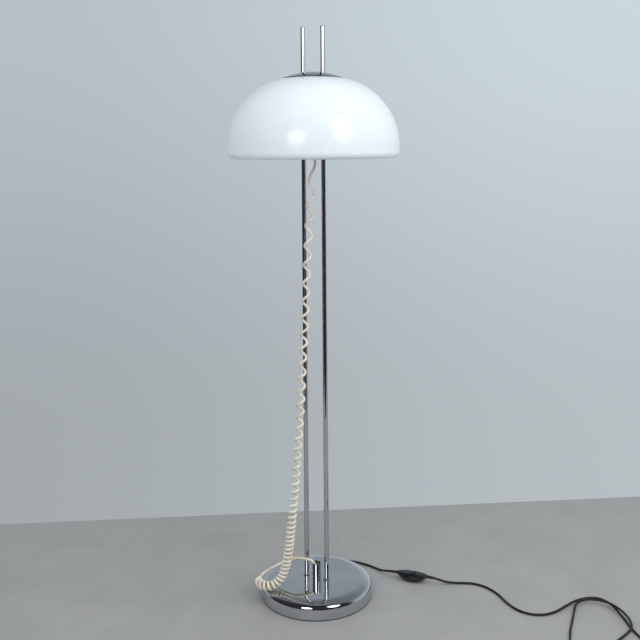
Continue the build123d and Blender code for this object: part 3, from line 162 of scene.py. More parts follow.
def routeSpline(name, points, steps, width=0.0):
    data = bpy.data.curves.new(name, "CURVE")
    data.dimensions = "3D"
    data.resolution_u = steps
    data.bevel_depth = width / 2
    data.bevel_resolution = cordMesh["roundness"]
    data.use_fill_caps = width > 0
    spline = data.splines.new("NURBS")
    spline.points.add(len(points) - 1)
    for spot, point in zip(spline.points, points):
        spot.co = (*metres(point), 1)
    spline.order_u = cordMesh["splineOrder"]
    spline.use_endpoint_u = True
    piece = bpy.data.objects.new(name, data)
    bpy.context.scene.collection.objects.link(piece)
    return piece


def routeSamples(points):
    line = routeSpline("routeLine", points, cordMesh["sampleSteps"])
    bpy.context.view_layer.update()
    mesh = bpy.data.meshes.new_from_object(line)
    samples = [vertex.co.copy() for vertex in mesh.vertices]
    bpy.data.objects.remove(line)
    bpy.data.meshes.remove(mesh)
    return samples


def tubeAlong(name, places, radius, roundness=3, swells=None):
    data = bpy.data.curves.new(name, "CURVE")
    data.dimensions = "3D"
    data.bevel_depth = radius
    data.bevel_resolution = roundness
    data.use_fill_caps = True
    spline = data.splines.new("POLY")
    spline.points.add(len(places) - 1)
    for number, (spot, place) in enumerate(zip(spline.points, places)):
        spot.co = (*place, 1)
        spot.radius = swells[number] if swells else 1
    piece = bpy.data.objects.new(name, data)
    bpy.context.scene.collection.objects.link(piece)
    makeActive(piece)
    bpy.ops.object.convert(target="MESH")
    piece = bpy.context.object
    smooth(piece, cordMesh["sharp"])
    return piece


# Curly cord: lengths in metres, points in millimetres, the start angle in degrees
curlyCord = {
    "wire": 0.0063,
    "radiusOpen": 0.0077,
    "radiusClosed": 0.0081,
    "pitchOpen": 0.055,
    "pitchClosed": 0.0096,
    "openingTurns": 32.0,
    "openingPower": 1.45,
    "turns": 50,
    "leadIn": 0.6,
    "leadOut": 1.5,
    "pitchEase": 0.014,
    "begins": 0.045,
    "firstStretch": 0.053,
    "firstTurn": 0.5,
    "firstEase": 0.75,
    "startAngle": -90.0,
    "stepsInTurn": 24,
    "plainStep": 0.004,
    "points": [
        (14, -22, 1136), (14, -22, 1066), (7, -25, 990), (3, -28, 926), (-1, -32, 837),
        (-4, -36, 740), (-7, -41, 644), (-11, -46, 547), (-14, -52, 449), (-19, -58, 359),
        (-23, -63, 281), (-28, -69, 208), (-32, -74, 154), (-35, -77, 118), (-41, -80, 89),
        (-47, -86, 66), (-56, -99, 52), (-70, -110, 48), (-87, -111, 47), (-102, -102, 47),
        (-111, -87, 48), (-111, -68, 53), (-98, -54, 61), (-78, -41, 72), (-58, -30, 81),
        (-38, -19, 86), (3.5, 2, 76), (3.5, 2, 20),
    ],
}


def curlPitch(turn, facts):
    stillOpen = max(1 - turn / facts["openingTurns"], 0)
    ending = smoothStep(1 - (facts["turns"] - turn) / facts["leadOut"])
    beginning = 1 - smoothStep((turn - facts["firstTurn"]) / facts["firstEase"])
    return (facts["pitchClosed"] + facts["pitchEase"] * ending + facts["firstStretch"] * beginning
            + (facts["pitchOpen"] - facts["pitchClosed"]) * stillOpen ** facts["openingPower"])


def curlCentres(facts):
    samples = routeSamples(facts["points"])
    along = stationsAlong(samples)
    station, turn, index = 0.0, 0.0, 0
    sideways = photoRight.copy()
    places = []
    while station < along[-1]:
        while index < len(along) - 2 and along[index + 1] < station:
            index += 1
        share = (station - along[index]) / (along[index + 1] - along[index])
        ahead = (samples[index + 1] - samples[index]).normalized()
        if index + 2 < len(samples):
            ahead = ahead.lerp((samples[index + 2] - samples[index + 1]).normalized(), share).normalized()
        sideways = (sideways - ahead * sideways.dot(ahead)).normalized()
        crossways = ahead.cross(sideways)
        angle = math.radians(facts["startAngle"] + 360 * turn)
        radius = facts["radiusOpen"] + (facts["radiusClosed"] - facts["radiusOpen"]) * smoothStep(
            turn / facts["openingTurns"])
        radius *= smoothStep(turn / facts["leadIn"]) * smoothStep(
            (facts["turns"] - turn) / facts["leadOut"])
        middle = samples[index].lerp(samples[index + 1], share)
        places.append(middle + (sideways * math.cos(angle) + crossways * math.sin(angle)) * radius)
        if station < facts["begins"] or turn >= facts["turns"]:
            station += facts["plainStep"]
        else:
            turn += 1 / facts["stepsInTurn"]
            station += curlPitch(turn, facts) / facts["stepsInTurn"]
    places.append(samples[-1])
    return places


curlPlaces = curlCentres(curlyCord)
curlLength = stationsAlong(curlPlaces)[-1]
curlCord = tubeAlong("curlyCord", curlPlaces, curlyCord["wire"] / 2)
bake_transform(curlCord)
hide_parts("curly_cord")
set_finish(curlCord, "cream_cord")
print("curly cord:", round(curlLength, 3), "m")

# Mains lead: its width in metres, the coil's sizes and the points in millimetres
lead = {
    "width": 0.0054,
    "coilRadius": 36.0,
    "coilStep": 6.0,
    "coilRise": 6.0,
    "coilTurnsIn": 2.0,
    "coilClimb": 0.5,
    "coilTurns": 3.25,
    "coilExit": 30.0,
    "pointsInTurn": 16,
    "points": [
        (0, 137, 11), (0, 159, 11), (14, 178, 6), (43, 183, 3), (70, 178, 3), (97, 167, 5),
        (124.08, 155.65, 14), (147.85, 158.99, 15), (219.15, 169.01, 15), (242.92, 172.35, 14),
        (268, 181, 6), (296, 199, 3), (328, 213, 3), (362, 209, 3), (398, 188, 3), (431, 153, 3),
        (468, 131, 3), (508, 134, 3), (537, 158, 4), (554, 192, 6), (569, 226, 8), (590, 253, 9),
        (619, 267, 10), (650, 256, 7.5), (673, 229, 4), (693, 201, 3), (709, 172, 2.8), (732, 145, 2.8),
        (755, 112, 3), (758, 78, 3), (740, 50, 3), (708, 42, 3), (686, 62, 3), (686, 95, 4),
        (701, 131, 6), (713, 165, 9), (701, 200, 10), (677, 229, 12), (646, 247, 14), (615, 252, 12),
        (589, 242, 10), (576, 223, 8), (578, 195, 6), (582, 162, 4), (586, 124, 3), (591, 87, 3),
        (601, 50, 3), (614, 15, 3), (628, -17, 3),
    ],
}


def coilPoints(facts):
    start = Vector(facts["points"][-1])
    heading = (start - Vector(facts["points"][-2])).normalized()
    outward = Vector((-heading.y, heading.x, 0))
    centre = start - outward * facts["coilRadius"]
    points = []
    for number in range(1, int(facts["coilTurns"] * facts["pointsInTurn"]) + 1):
        turn = number / facts["pointsInTurn"]
        spin = Matrix.Rotation(-2 * math.pi * turn, 3, "Z")
        radius = facts["coilRadius"] - facts["coilStep"] * (
            facts["coilTurnsIn"] - abs(turn - facts["coilTurnsIn"]))
        climbed = min(max((turn - facts["coilTurnsIn"]) / facts["coilClimb"] + 0.5, 0), 1)
        points.append(centre + spin @ outward * radius + Vector((0, 0, facts["coilRise"] * climbed)))
    leaving = Matrix.Rotation(-2 * math.pi * facts["coilTurns"], 3, "Z") @ heading
    points += [points[-1] + leaving * facts["coilExit"] / 2, points[-1] + leaving * facts["coilExit"]]
    return points


leadRoute = lead["points"] + [tuple(point) for point in coilPoints(lead)]
leadSamples = routeSamples(leadRoute)
leadLength = stationsAlong(leadSamples)[-1]
leadCord = routeSpline("mainsLead", leadRoute, cordMesh["steps"], lead["width"])
makeActive(leadCord)
bpy.ops.object.convert(target="MESH")
leadCord = bpy.context.object
smooth(leadCord, cordMesh["sharp"])
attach(leadCord, "stand")
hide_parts("lead_base_to_switch", "lead_switch_to_coil", "lead_coil", "switch_lead_ends")
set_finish(leadCord, "black_cord")
print("mains lead:", round(leadLength, 3), "m")

# Turned pieces: outlines of (radius, height) in millimetres, spun round an upright axis
turning = {"seed": 0.001, "weld": 0.000002}


def arcPoints(centre, radius, first, last, count):
    points = []
    for number in range(count + 1):
        angle = math.radians(first + (last - first) * number / count)
        points.append((centre[0] + radius * math.cos(angle), centre[1] + radius * math.sin(angle)))
    return points


def turnedPiece(name, outline, steps, axisAt=(0, 0), sharp=35):
    bpy.ops.mesh.primitive_plane_add(size=turning["seed"], location=(0, 0, 0))
    piece = bpy.context.object
    piece.name = name
    bpy.ops.object.mode_set(mode="EDIT")
    bpy.ops.mesh.select_all(action="SELECT")
    bpy.ops.mesh.merge(type="CENTER")
    start = metres((axisAt[0] + outline[0][0], axisAt[1], outline[0][1]))
    bpy.ops.transform.translate(value=start)
    for before, after in zip(outline, outline[1:]):
        bpy.ops.mesh.extrude_region_move(TRANSFORM_OT_translate={
            "value": metres((after[0] - before[0], 0, after[1] - before[1]))})
    bpy.ops.mesh.select_all(action="SELECT")
    bpy.ops.mesh.spin(steps=steps, angle=2 * math.pi, center=metres((*axisAt, 0)), axis=(0, 0, 1))
    bpy.ops.mesh.select_all(action="SELECT")
    bpy.ops.mesh.remove_doubles(threshold=turning["weld"])
    bpy.ops.mesh.normals_make_consistent(inside=False)
    bpy.ops.object.mode_set(mode="OBJECT")
    applyPlace(piece)
    smooth(piece, sharp)
    return piece


shadeShape = {
    "holeRadius": 52.0, "wall": 3.0,
    "crownRadius": 400.0, "crownHeight": 864.15,
    "shoulderRadius": 165.98, "shoulderAt": (44.02, 1094.0),
    "side": 210.0, "lipRadius": 16.0, "lipAt": (194.0, 1078.0), "lipEdge": (30, 60, 90, 120, 150),
    "crownSteps": 8, "shoulderSteps": 56, "lipSteps": 14, "steps": 160,
}


def shadeOutline(facts):
    def skin(inset):
        crown = facts["crownRadius"] - inset
        centre = (0, facts["crownHeight"])
        fromAngle = math.degrees(math.acos(facts["holeRadius"] / crown))
        x, z = facts["shoulderAt"]
        joint = math.degrees(math.atan2(z - facts["crownHeight"], x))
        points = arcPoints(centre, crown, fromAngle, joint, facts["crownSteps"])
        points += arcPoints((x, z), facts["shoulderRadius"] - inset, joint, 0, facts["shoulderSteps"])[1:]
        points.append((facts["side"] - inset, facts["lipAt"][1]))
        points += arcPoints(facts["lipAt"], facts["lipRadius"] - inset, 0, -90, facts["lipSteps"])[1:]
        return points

    outer, inner = skin(0), skin(facts["wall"])
    middle = (Vector(outer[-1]) + Vector(inner[-1])) / 2
    rounding = []
    for angle in facts["lipEdge"]:
        outward = Vector((-math.sin(math.radians(angle)), -math.cos(math.radians(angle))))
        rounding.append(tuple(middle + outward * facts["wall"] / 2))
    return outer + rounding + inner[::-1] + [outer[0]]


shade = turnedPiece("opalShade", shadeOutline(shadeShape), shadeShape["steps"])
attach(shade, "shade_carriage")
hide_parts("shade")
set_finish(shade, "opal_plastic")

coverShape = {
    "flat": 108.0, "top": 38.5, "crease": 4.0, "creasePower": 1.5, "crispness": 0.4,
    "shoulderRadius": 14.0, "shoulderAt": (120.0, 22.083), "shoulderLean": 67.22,
    "side": 134.0, "foot": 2.5, "wall": 1.6, "flatRing": 0.5,
    "crownSteps": 16, "shoulderSteps": 12, "innerSteps": 8, "steps": 160,
}


# From the flat top's edge to the shoulder the slope grows from the crease's to the shoulder's
def crownPoints(facts):
    x, z = facts["shoulderAt"]
    count = facts["crownSteps"]
    lean = math.radians(facts["shoulderLean"])
    reach = x + facts["shoulderRadius"] * math.cos(lean) - facts["flat"]
    fall = z + facts["shoulderRadius"] * math.sin(lean) - facts["top"]
    steepening = 90 - facts["shoulderLean"] - facts["crease"]
    slopes = []
    for number in range(count):
        share = ((number + 0.5) / count) ** facts["creasePower"]
        slopes.append(math.tan(math.radians(facts["crease"] + steepening * share)))
    height, points = facts["top"], []
    for number, slope in enumerate(slopes):
        height += fall * slope / sum(slopes)
        points.append((facts["flat"] + reach * (number + 1) / count, height))
    return points


def coverOutline(facts):
    top, flat, wall = facts["top"], facts["flat"], facts["wall"]
    shoulderAt, radius, lean = facts["shoulderAt"], facts["shoulderRadius"], facts["shoulderLean"]
    outer = [(0, top), (flat * facts["flatRing"], top), (flat - facts["crispness"], top), (flat, top)]
    outer += crownPoints(facts)
    outer += arcPoints(shoulderAt, radius, lean, 0, facts["shoulderSteps"])[1:]
    outer += [(facts["side"], facts["foot"] + facts["crispness"]), (facts["side"], facts["foot"])]
    inner = [(facts["side"] - wall, facts["foot"])]
    inner += arcPoints(shoulderAt, radius - wall, 0, lean, facts["innerSteps"])
    inner += [(flat, top - wall), (0, top - wall)]
    return outer + inner


cover = turnedPiece("baseCover", coverOutline(coverShape), coverShape["steps"])
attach(cover, "stand")
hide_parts("base_cover")
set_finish(cover, "chrome")

capShape = {
    "radius": 73.5, "seat": 1258.94, "rise": 15.5, "wall": 1.2, "edge": 0.5,
    "rodHole": 7.0, "rodAt": 27.5, "drillLong": 60.0, "drillSides": 64,
    "outerShare": 0.995, "innerShare": 0.99, "curveSteps": 24, "steps": 128, "sharp": 40,
}


def capOutline(facts):
    curve = (facts["radius"] ** 2 + facts["rise"] ** 2) / (2 * facts["rise"])
    centre = (0, facts["seat"] + facts["rise"] - curve)
    tilt = math.degrees(math.asin(facts["radius"] / curve))
    steps = facts["curveSteps"]
    outer = arcPoints(centre, curve, 90, 90 - tilt * facts["outerShare"], steps)
    inner = arcPoints(centre, curve - facts["wall"], 90 - tilt * facts["innerShare"], 90, steps)
    return outer + [(facts["radius"], facts["seat"] - facts["edge"])] + inner


cap = turnedPiece("shadeCap", capOutline(capShape), capShape["steps"], sharp=capShape["sharp"])
for side in (-1, 1):
    bpy.ops.mesh.primitive_cylinder_add(
        vertices=capShape["drillSides"], radius=capShape["rodHole"] * millimetre,
        depth=capShape["drillLong"] * millimetre,
        location=metres((side * capShape["rodAt"], 0, capShape["seat"] + capShape["rise"])))
    carve(cap, bpy.context.object, "rodHole")
smooth(cap, capShape["sharp"])
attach(cap, "shade_carriage")
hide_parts("shade_cap")
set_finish(cap, "chrome")

rodShape = {
    "at": 27.5, "radius": 6.0, "foot": 38.5, "plugTop": 1384.7, "steady": 2.0,
    "round": 1.2, "roundFrom": 15, "roundSteps": 5, "steps": 64,
}
ferruleOutline = [
    (6.0, 38.5), (8.5, 38.5), (8.5, 40.4), (8.2, 41.1),
    (7.5, 41.5), (6.6, 41.5), (6.0, 41.1), (6.0, 38.5),
]


# The long side has one more ring near each of its ends
def rodOutline(facts):
    radius, foot, top, edge = (facts[key] for key in ("radius", "foot", "plugTop", "round"))
    outline = [(0, foot), (radius, foot), (radius, foot + facts["steady"]),
               (radius, top - edge - facts["steady"]), (radius, top - edge)]
    outline += arcPoints((radius - edge, top - edge), edge, facts["roundFrom"], 90, facts["roundSteps"])
    return outline + [(0, top)]


for side, hand, node in ((-1, "left", "rod_left"), (1, "right", "rod_right")):
    axisAt = (side * rodShape["at"], 0)
    rod = turnedPiece(hand + "Rod", rodOutline(rodShape), rodShape["steps"], axisAt)
    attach(rod, "stand")
    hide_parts(node, "rod_plugs")
    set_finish(rod, "chrome")
    ferrule = turnedPiece(hand + "Ferrule", ferruleOutline, rodShape["steps"], axisAt)
    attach(ferrule, "stand")
    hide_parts("rod_ferrules")
    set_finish(ferrule, "chrome")

stubShape = {
    "outer": 11.0, "bore": 9.5, "foot": 38.5, "top": 74.5, "deep": 30.0, "shankStep": 0.4,
    "footBand": 1.5, "topBand": 2.0, "rounding": 0.7, "roundingMiddle": 0.2, "boreRounding": 0.3,
    "steps": 64,
}


def stubOutline(facts):
    outer, bore, foot, top, deep = (facts[key] for key in ("outer", "bore", "foot", "top", "deep"))
    shank = outer - facts["shankStep"]
    return [
        (bore, deep), (shank, deep), (shank, foot), (outer, foot), (outer, foot + facts["footBand"]),
        (outer, top - facts["topBand"]), (outer, top - facts["rounding"]),
        (outer - facts["roundingMiddle"], top - facts["roundingMiddle"]),
        (outer - facts["rounding"], top), (bore + facts["boreRounding"], top),
        (bore, top - facts["boreRounding"]), (bore, deep),
    ]


stub = turnedPiece("cordStub", stubOutline(stubShape), stubShape["steps"])
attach(stub, "stand")
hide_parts("cord_stub")
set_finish(stub, "chrome")
print("turned pieces made")


switchShape = {
    "at": (183.5, 164.0), "turn": 8.0, "long": 72.0, "high": 20.0, "belly": 11.5, "topFall": 1.0,
    "halfTop": 9.5, "halfWide": 17.0, "halfFoot": 11.0, "wideAt": 0.55, "endShare": 0.42,
    "taperPower": 2.2, "footPower": 2.5, "cuts": 23, "seamAt": 0.62, "seamDepth": 0.35, "skin": 0.99,
    "softEdge": 1.6, "softSteps": 3, "softAngle": 32, "sharp": 30,
    "well": (16.8, 9.8, 12.0), "wellSink": 3.5,
}


# Shapes a cube's spot, along and across from -1 to 1 and up from 0 to 1, into the boat-like housing
def boatPlace(spot, facts):
    along, across, up = spot
    taper = 1 - (1 - facts["endShare"]) * abs(along) ** facts["taperPower"]
    bottom = facts["belly"] * abs(along) ** 2
    top = facts["high"] - facts["topFall"] * abs(along) ** 2
    if up > facts["wideAt"]:
        share = (up - facts["wideAt"]) / (1 - facts["wideAt"])
        half = facts["halfWide"] + (facts["halfTop"] - facts["halfWide"]) * share
    else:
        share = 1 - up / facts["wideAt"]
        half = facts["halfWide"] + (facts["halfFoot"] - facts["halfWide"]) * share ** facts["footPower"]
    halfCell = 0.5 / (facts["cuts"] + 1)
    if abs(up - facts["seamAt"]) < halfCell and abs(across) > facts["skin"]:
        half -= facts["seamDepth"]
    return Vector((along * facts["long"] / 2, across * half * taper, bottom + (top - bottom) * up))


def makeSwitchBody(facts):
    bpy.ops.mesh.primitive_cube_add(size=2, location=(0, 0, 0))
    piece = bpy.context.object
    piece.name = "switchBody"
    bpy.ops.object.mode_set(mode="EDIT")
    bpy.ops.mesh.select_all(action="SELECT")
    bpy.ops.mesh.subdivide(number_cuts=facts["cuts"])
    bpy.ops.object.mode_set(mode="OBJECT")
    turn = Matrix.Translation((*facts["at"], 0)) @ Matrix.Rotation(math.radians(facts["turn"]), 4, "Z")
    for vertex in piece.data.vertices:
        along, across, up = vertex.co
        vertex.co = metres(turn @ boatPlace((along, across, (up + 1) / 2), facts))
    soften = piece.modifiers.new("softEdges", "BEVEL")
    soften.width = facts["softEdge"] * millimetre
    soften.segments = facts["softSteps"]
    soften.limit_method = "ANGLE"
    soften.angle_limit = math.radians(facts["softAngle"])
    makeActive(piece)
    bpy.ops.object.modifier_apply(modifier="softEdges")
    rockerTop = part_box("rocker")[1][2]
    middle = metres((*facts["at"], -facts["wellSink"])) + Vector((0, 0, rockerTop))
    bpy.ops.mesh.primitive_cube_add(size=1, location=middle)
    well = bpy.context.object
    well.scale = metres(facts["well"])
    well.rotation_euler = (0, 0, math.radians(facts["turn"]))
    applyPlace(well)
    carve(piece, well, "rockerWell")
    smooth(piece, facts["sharp"])
    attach(piece, "stand")
    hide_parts("switch_lower_case", "switch_upper_case", "switch_screws")
    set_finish(piece, "black_plastic")
    return piece


switchBody = makeSwitchBody(switchShape)

# Tapered sleeves where the lead leaves a housing: the start in millimetres, which way it runs along
# the lead, its length in metres, and its first and last radius in millimetres
sleeves = [
    {"name": "baseSleeve", "start": (0, 136.5, 11), "way": 1,
     "long": 0.026, "first": 4.6, "last": 3.0},
    {"name": "switchSleeveBase", "start": (150, 159.3, 15), "way": -1,
     "long": 0.026, "first": 4.3, "last": 2.95},
    {"name": "switchSleeveFar", "start": (217, 168.7, 15), "way": 1,
     "long": 0.026, "first": 4.3, "last": 2.95},
    {"name": "plugSleeve", "start": (580.1, -72.3, 9), "way": -1,
     "long": 0.032, "first": 6.2, "last": 3.0},
]
sleeveLook = {
    "rings": 6, "stepsInRing": 6, "grooveDepth": 0.09, "grooveBelow": -0.4, "plainEnd": 2,
    "roundness": 4, "leeway": 1e-9,
}


def makeSleeve(facts, look):
    start = metres(facts["start"])
    number = min(range(len(leadSamples)), key=lambda sample: (leadSamples[sample] - start).length)
    line, gone = [leadSamples[number]], 0.0
    while gone < facts["long"] and 0 <= number + facts["way"] < len(leadSamples):
        number += facts["way"]
        gone += (leadSamples[number] - line[-1]).length
        line.append(leadSamples[number])
    along = stationsAlong(line)
    places, swells = [], []
    steps = look["rings"] * look["stepsInRing"]
    for step in range(steps + 1):
        station = facts["long"] * step / steps
        passed = [index for index, reached in enumerate(along) if reached <= station + look["leeway"]]
        index = min(passed[-1], len(line) - 2)
        share = min((station - along[index]) / (along[index + 1] - along[index]), 1)
        places.append(line[index].lerp(line[index + 1], share))
        radius = facts["first"] + (facts["last"] - facts["first"]) * step / steps
        inGroove = math.cos(2 * math.pi * step / look["stepsInRing"]) < look["grooveBelow"]
        if inGroove and step < steps - look["plainEnd"]:
            radius *= 1 - look["grooveDepth"]
        swells.append(radius / facts["first"])
    piece = tubeAlong(facts["name"], places, facts["first"] * millimetre, look["roundness"], swells)
    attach(piece, "stand")
    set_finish(piece, "black_cord")
    return piece


sleevePieces = [makeSleeve(facts, sleeveLook) for facts in sleeves]
print("switch body and sleeves made")

# Materials: a socket with arithmetic, and a painter that makes nodes


class Socket:
    def __init__(self, painter, socket):
        self.painter = painter
        self.socket = socket

    def compute(self, operation, first, second):
        return self.painter.node("Math", {"operation": operation}, {0: first, 1: second})

    def __add__(self, other):
        return self.compute("ADD", self, other)

    __radd__ = __add__

    def __mul__(self, other):
        return self.compute("MULTIPLY", self, other)

    __rmul__ = __mul__

    def most(self, other):
        return self.compute("MAXIMUM", self, other)

    def least(self, other):
        return self.compute("MINIMUM", self, other)


class Painter:
    def __init__(self, owner):
        owner.use_nodes = True
        self.owner = owner
        self.tree = owner.node_tree

    def node(self, kind, settings=None, inputs=None, output=0):
        made = self.tree.nodes.new("ShaderNode" + kind)
        for key, value in (settings or {}).items():
            setattr(made, key, value)
        for key, value in (inputs or {}).items():
            self.put(made.inputs[key], value)
        return Socket(self, made.outputs[output])

    def put(self, place, value):
        if isinstance(value, Socket):
            self.tree.links.new(value.socket, place)
        elif isinstance(value, tuple) and len(value) == 3 and place.type == "RGBA":
            place.default_value = (*value, 1)
        else:
            place.default_value = value

    def ramp(self, value, fromLow, fromHigh, toLow=0.0, toHigh=1.0):
        return self.node("MapRange", {"interpolation_type": "SMOOTHSTEP"}, {
            "Value": value, "From Min": fromLow, "From Max": fromHigh, "To Min": toLow, "To Max": toHigh})

    # The Mix node's colours are its inputs 6 and 7, and its mixed colour is output 2
    def colour(self, share, first, second):
        return self.node("Mix", {"data_type": "RGBA"}, {0: share, 6: first, 7: second}, 2)

    # Output 3 of the coordinates is the place on the object
    def place(self, stretch, turn):
        where = self.node("TexCoord", output=3)
        return self.node("Mapping", {}, {"Vector": where, "Scale": stretch, "Rotation": turn})

    def noise(self, scale, detail, rough, warp=0.0, stretch=(1, 1, 1), turn=(0, 0, 0)):
        return self.node("TexNoise", {}, {
            "Vector": self.place(stretch, turn), "Scale": scale, "Detail": detail,
            "Roughness": rough, "Distortion": warp})

    def bump(self, height, distance, strength=1.0, under=None):
        inputs = {"Height": height, "Distance": distance, "Strength": strength}
        if under is not None:
            inputs["Normal"] = under
        return self.node("Bump", {}, inputs)


# What each finish is: colours, how far they vary, gloss, and the relief of the surface
finishes = {
    "chrome": {"colour": (0.62, 0.635, 0.66), "second": (0.55, 0.56, 0.58), "patch": 14,
               "rough": (0.028, 0.085), "grain": 900, "relief": 0.0000015, "metallic": 1.0,
               "scratches": 0.10},
    "opal_plastic": {"colour": (0.82, 0.875, 0.925), "second": (0.79, 0.85, 0.90), "patch": 5,
                     "rough": (0.12, 0.22), "grain": 260, "relief": 0.000004, "scratches": 0.04,
                     "subsurface": 0.25, "depth": 0.012},
    "black_rubber": {"colour": (0.018, 0.018, 0.019), "second": (0.045, 0.044, 0.042), "patch": 60,
                     "rough": (0.55, 0.8), "grain": 1400, "relief": 0.00004},
    "grey_seal": {"colour": (0.09, 0.09, 0.095), "second": (0.16, 0.155, 0.15), "patch": 90,
                  "rough": (0.5, 0.75), "grain": 1300, "relief": 0.00003},
    "cast_weight": {"colour": (0.06, 0.062, 0.065), "second": (0.14, 0.115, 0.09), "patch": 22,
                    "rough": (0.55, 0.85), "grain": 420, "relief": 0.00035, "metallic": 0.3},
    "zinc_plate": {"colour": (0.035, 0.035, 0.037), "second": (0.09, 0.088, 0.085), "patch": 16,
                   "rough": (0.35, 0.6), "grain": 700, "relief": 0.00003, "scratches": 0.3},
    "zinc_steel": {"colour": (0.56, 0.56, 0.55), "second": (0.44, 0.43, 0.40), "patch": 120,
                   "rough": (0.24, 0.46), "grain": 900, "relief": 0.00001, "metallic": 1.0,
                   "scratches": 0.2},
    "aluminium": {"colour": (0.66, 0.66, 0.67), "second": (0.52, 0.52, 0.53), "patch": 60,
                  "rough": (0.25, 0.42), "grain": 1100, "relief": 0.00001, "metallic": 1.0,
                  "scratches": 0.2},
    "black_plastic": {"colour": (0.008, 0.009, 0.010), "second": (0.018, 0.018, 0.019), "patch": 70,
                      "rough": (0.2, 0.34), "grain": 1600, "relief": 0.00002, "scratches": 0.25},
    "matt_plastic": {"colour": (0.045, 0.045, 0.047), "second": (0.075, 0.073, 0.07), "patch": 80,
                     "rough": (0.45, 0.62), "grain": 1500, "relief": 0.00002},
    "nylon": {"colour": (0.74, 0.72, 0.64), "second": (0.62, 0.58, 0.49), "patch": 70,
              "rough": (0.38, 0.55), "grain": 900, "relief": 0.00001, "subsurface": 0.2, "depth": 0.003},
    "brass": {"colour": (0.66, 0.49, 0.21), "second": (0.44, 0.30, 0.13), "patch": 90,
              "rough": (0.2, 0.42), "grain": 1000, "relief": 0.00001, "metallic": 1.0, "scratches": 0.2},
    "bulb_glass": {"colour": (0.90, 0.90, 0.88), "second": (0.84, 0.84, 0.81), "patch": 30,
                   "rough": (0.12, 0.2), "grain": 500, "relief": 0.000002,
                   "subsurface": 0.4, "depth": 0.02},
    "cream_cord": {"colour": (0.83, 0.79, 0.68), "second": (0.68, 0.61, 0.47), "patch": 34,
                   "rough": (0.34, 0.5), "grain": 800, "relief": 0.00002,
                   "subsurface": 0.12, "depth": 0.002},
    "black_cord": {"colour": (0.008, 0.008, 0.009), "second": (0.022, 0.021, 0.021), "patch": 40,
                   "rough": (0.36, 0.58), "grain": 900, "relief": 0.00002},
    "brown_wire": {"colour": (0.20, 0.085, 0.035), "second": (0.15, 0.06, 0.026), "patch": 120,
                   "rough": (0.32, 0.45), "grain": 900, "relief": 0.00001},
    "blue_wire": {"colour": (0.04, 0.11, 0.38), "second": (0.03, 0.08, 0.28), "patch": 120,
                  "rough": (0.32, 0.45), "grain": 900, "relief": 0.00001},
    "white_plastic": {"colour": (0.80, 0.79, 0.75), "second": (0.70, 0.67, 0.60), "patch": 60,
                      "rough": (0.3, 0.45), "grain": 900, "relief": 0.00001},
    "black_bakelite": {"colour": (0.030, 0.024, 0.020), "second": (0.055, 0.042, 0.034), "patch": 90,
                       "rough": (0.2, 0.36), "grain": 700, "relief": 0.00001},
    "spring_steel": {"colour": (0.42, 0.42, 0.43), "second": (0.28, 0.27, 0.26), "patch": 140,
                     "rough": (0.25, 0.4), "grain": 900, "relief": 0.00001, "metallic": 1.0},
}


# How every finish wears: patches and specks of the second colour, uneven gloss and a fine grain
wear = {
    "patches": {"detail": 5, "rough": 0.6, "warp": 0.4}, "patchShare": 0.7,
    "specks": {"detail": 4, "rough": 0.7}, "speckScale": 9, "speckShare": 0.3, "wornRamp": (0.38, 0.66),
    "gloss": {"detail": 6, "rough": 0.65, "warp": 0.8}, "glossScale": 2.3, "glossRamp": (0.35, 0.7),
    "glossShare": 0.75, "wornShare": 0.25,
    "grain": {"detail": 3, "rough": 0.6},
    "subsurfaceRadius": (1.0, 0.9, 0.8),
}

# Scratches: fine lines in three directions, each a turn and how finely it is drawn out, in some places
scratching = {
    "lines": ((0.5, 700), (1.9, 900), (2.7, 800)), "lengthwise": 6, "lean": (0.4, 0.7, 1.0),
    "noise": {"scale": 1.0, "detail": 2, "rough": 0.5, "warp": 0.2}, "lineRamp": (0.66, 0.72),
    "places": {"scale": 11, "detail": 3, "rough": 0.6}, "placeRamp": (0.5, 0.62),
    "relief": 0.000004, "strength": 0.5,
}


def scratchMarks(painter, facts):
    lines = None
    for turn, across in facts["lines"]:
        fine = painter.noise(**facts["noise"], stretch=(across, facts["lengthwise"], facts["lengthwise"]),
                             turn=tuple(turn * share for share in facts["lean"]))
        line = painter.ramp(fine, *facts["lineRamp"])
        lines = line if lines is None else lines.most(line)
    return lines * painter.ramp(painter.noise(**facts["places"]), *facts["placeRamp"])


def paintFinish(name, facts):
    painter = Painter(bpy.data.materials.new(name))
    shader = painter.tree.nodes["Principled BSDF"]
    patches = painter.noise(facts["patch"], **wear["patches"])
    specks = painter.noise(facts["patch"] * wear["speckScale"], **wear["specks"])
    worn = painter.ramp(patches * wear["patchShare"] + specks * wear["speckShare"], *wear["wornRamp"])
    uneven = painter.noise(facts["patch"] * wear["glossScale"], **wear["gloss"])
    gloss = painter.ramp(uneven, *wear["glossRamp"])
    low, high = facts["rough"]
    roughness = low + (high - low) * (gloss * wear["glossShare"] + worn * wear["wornShare"])
    colour = painter.colour(worn, facts["colour"], facts["second"])
    normal = painter.bump(painter.noise(facts["grain"], **wear["grain"]), facts["relief"])
    if "scratches" in facts:
        marks = scratchMarks(painter, scratching)
        roughness = roughness + marks * facts["scratches"]
        normal = painter.bump(marks, scratching["relief"], scratching["strength"], normal)
    painter.put(shader.inputs["Base Color"], colour)
    painter.put(shader.inputs["Roughness"], roughness)
    painter.put(shader.inputs["Normal"], normal)
    shader.inputs["Metallic"].default_value = facts.get("metallic", 0.0)
    if "subsurface" in facts:
        shader.inputs["Subsurface Weight"].default_value = facts["subsurface"]
        shader.inputs["Subsurface Radius"].default_value = wear["subsurfaceRadius"]
        shader.inputs["Subsurface Scale"].default_value = facts["depth"]
    return painter.owner


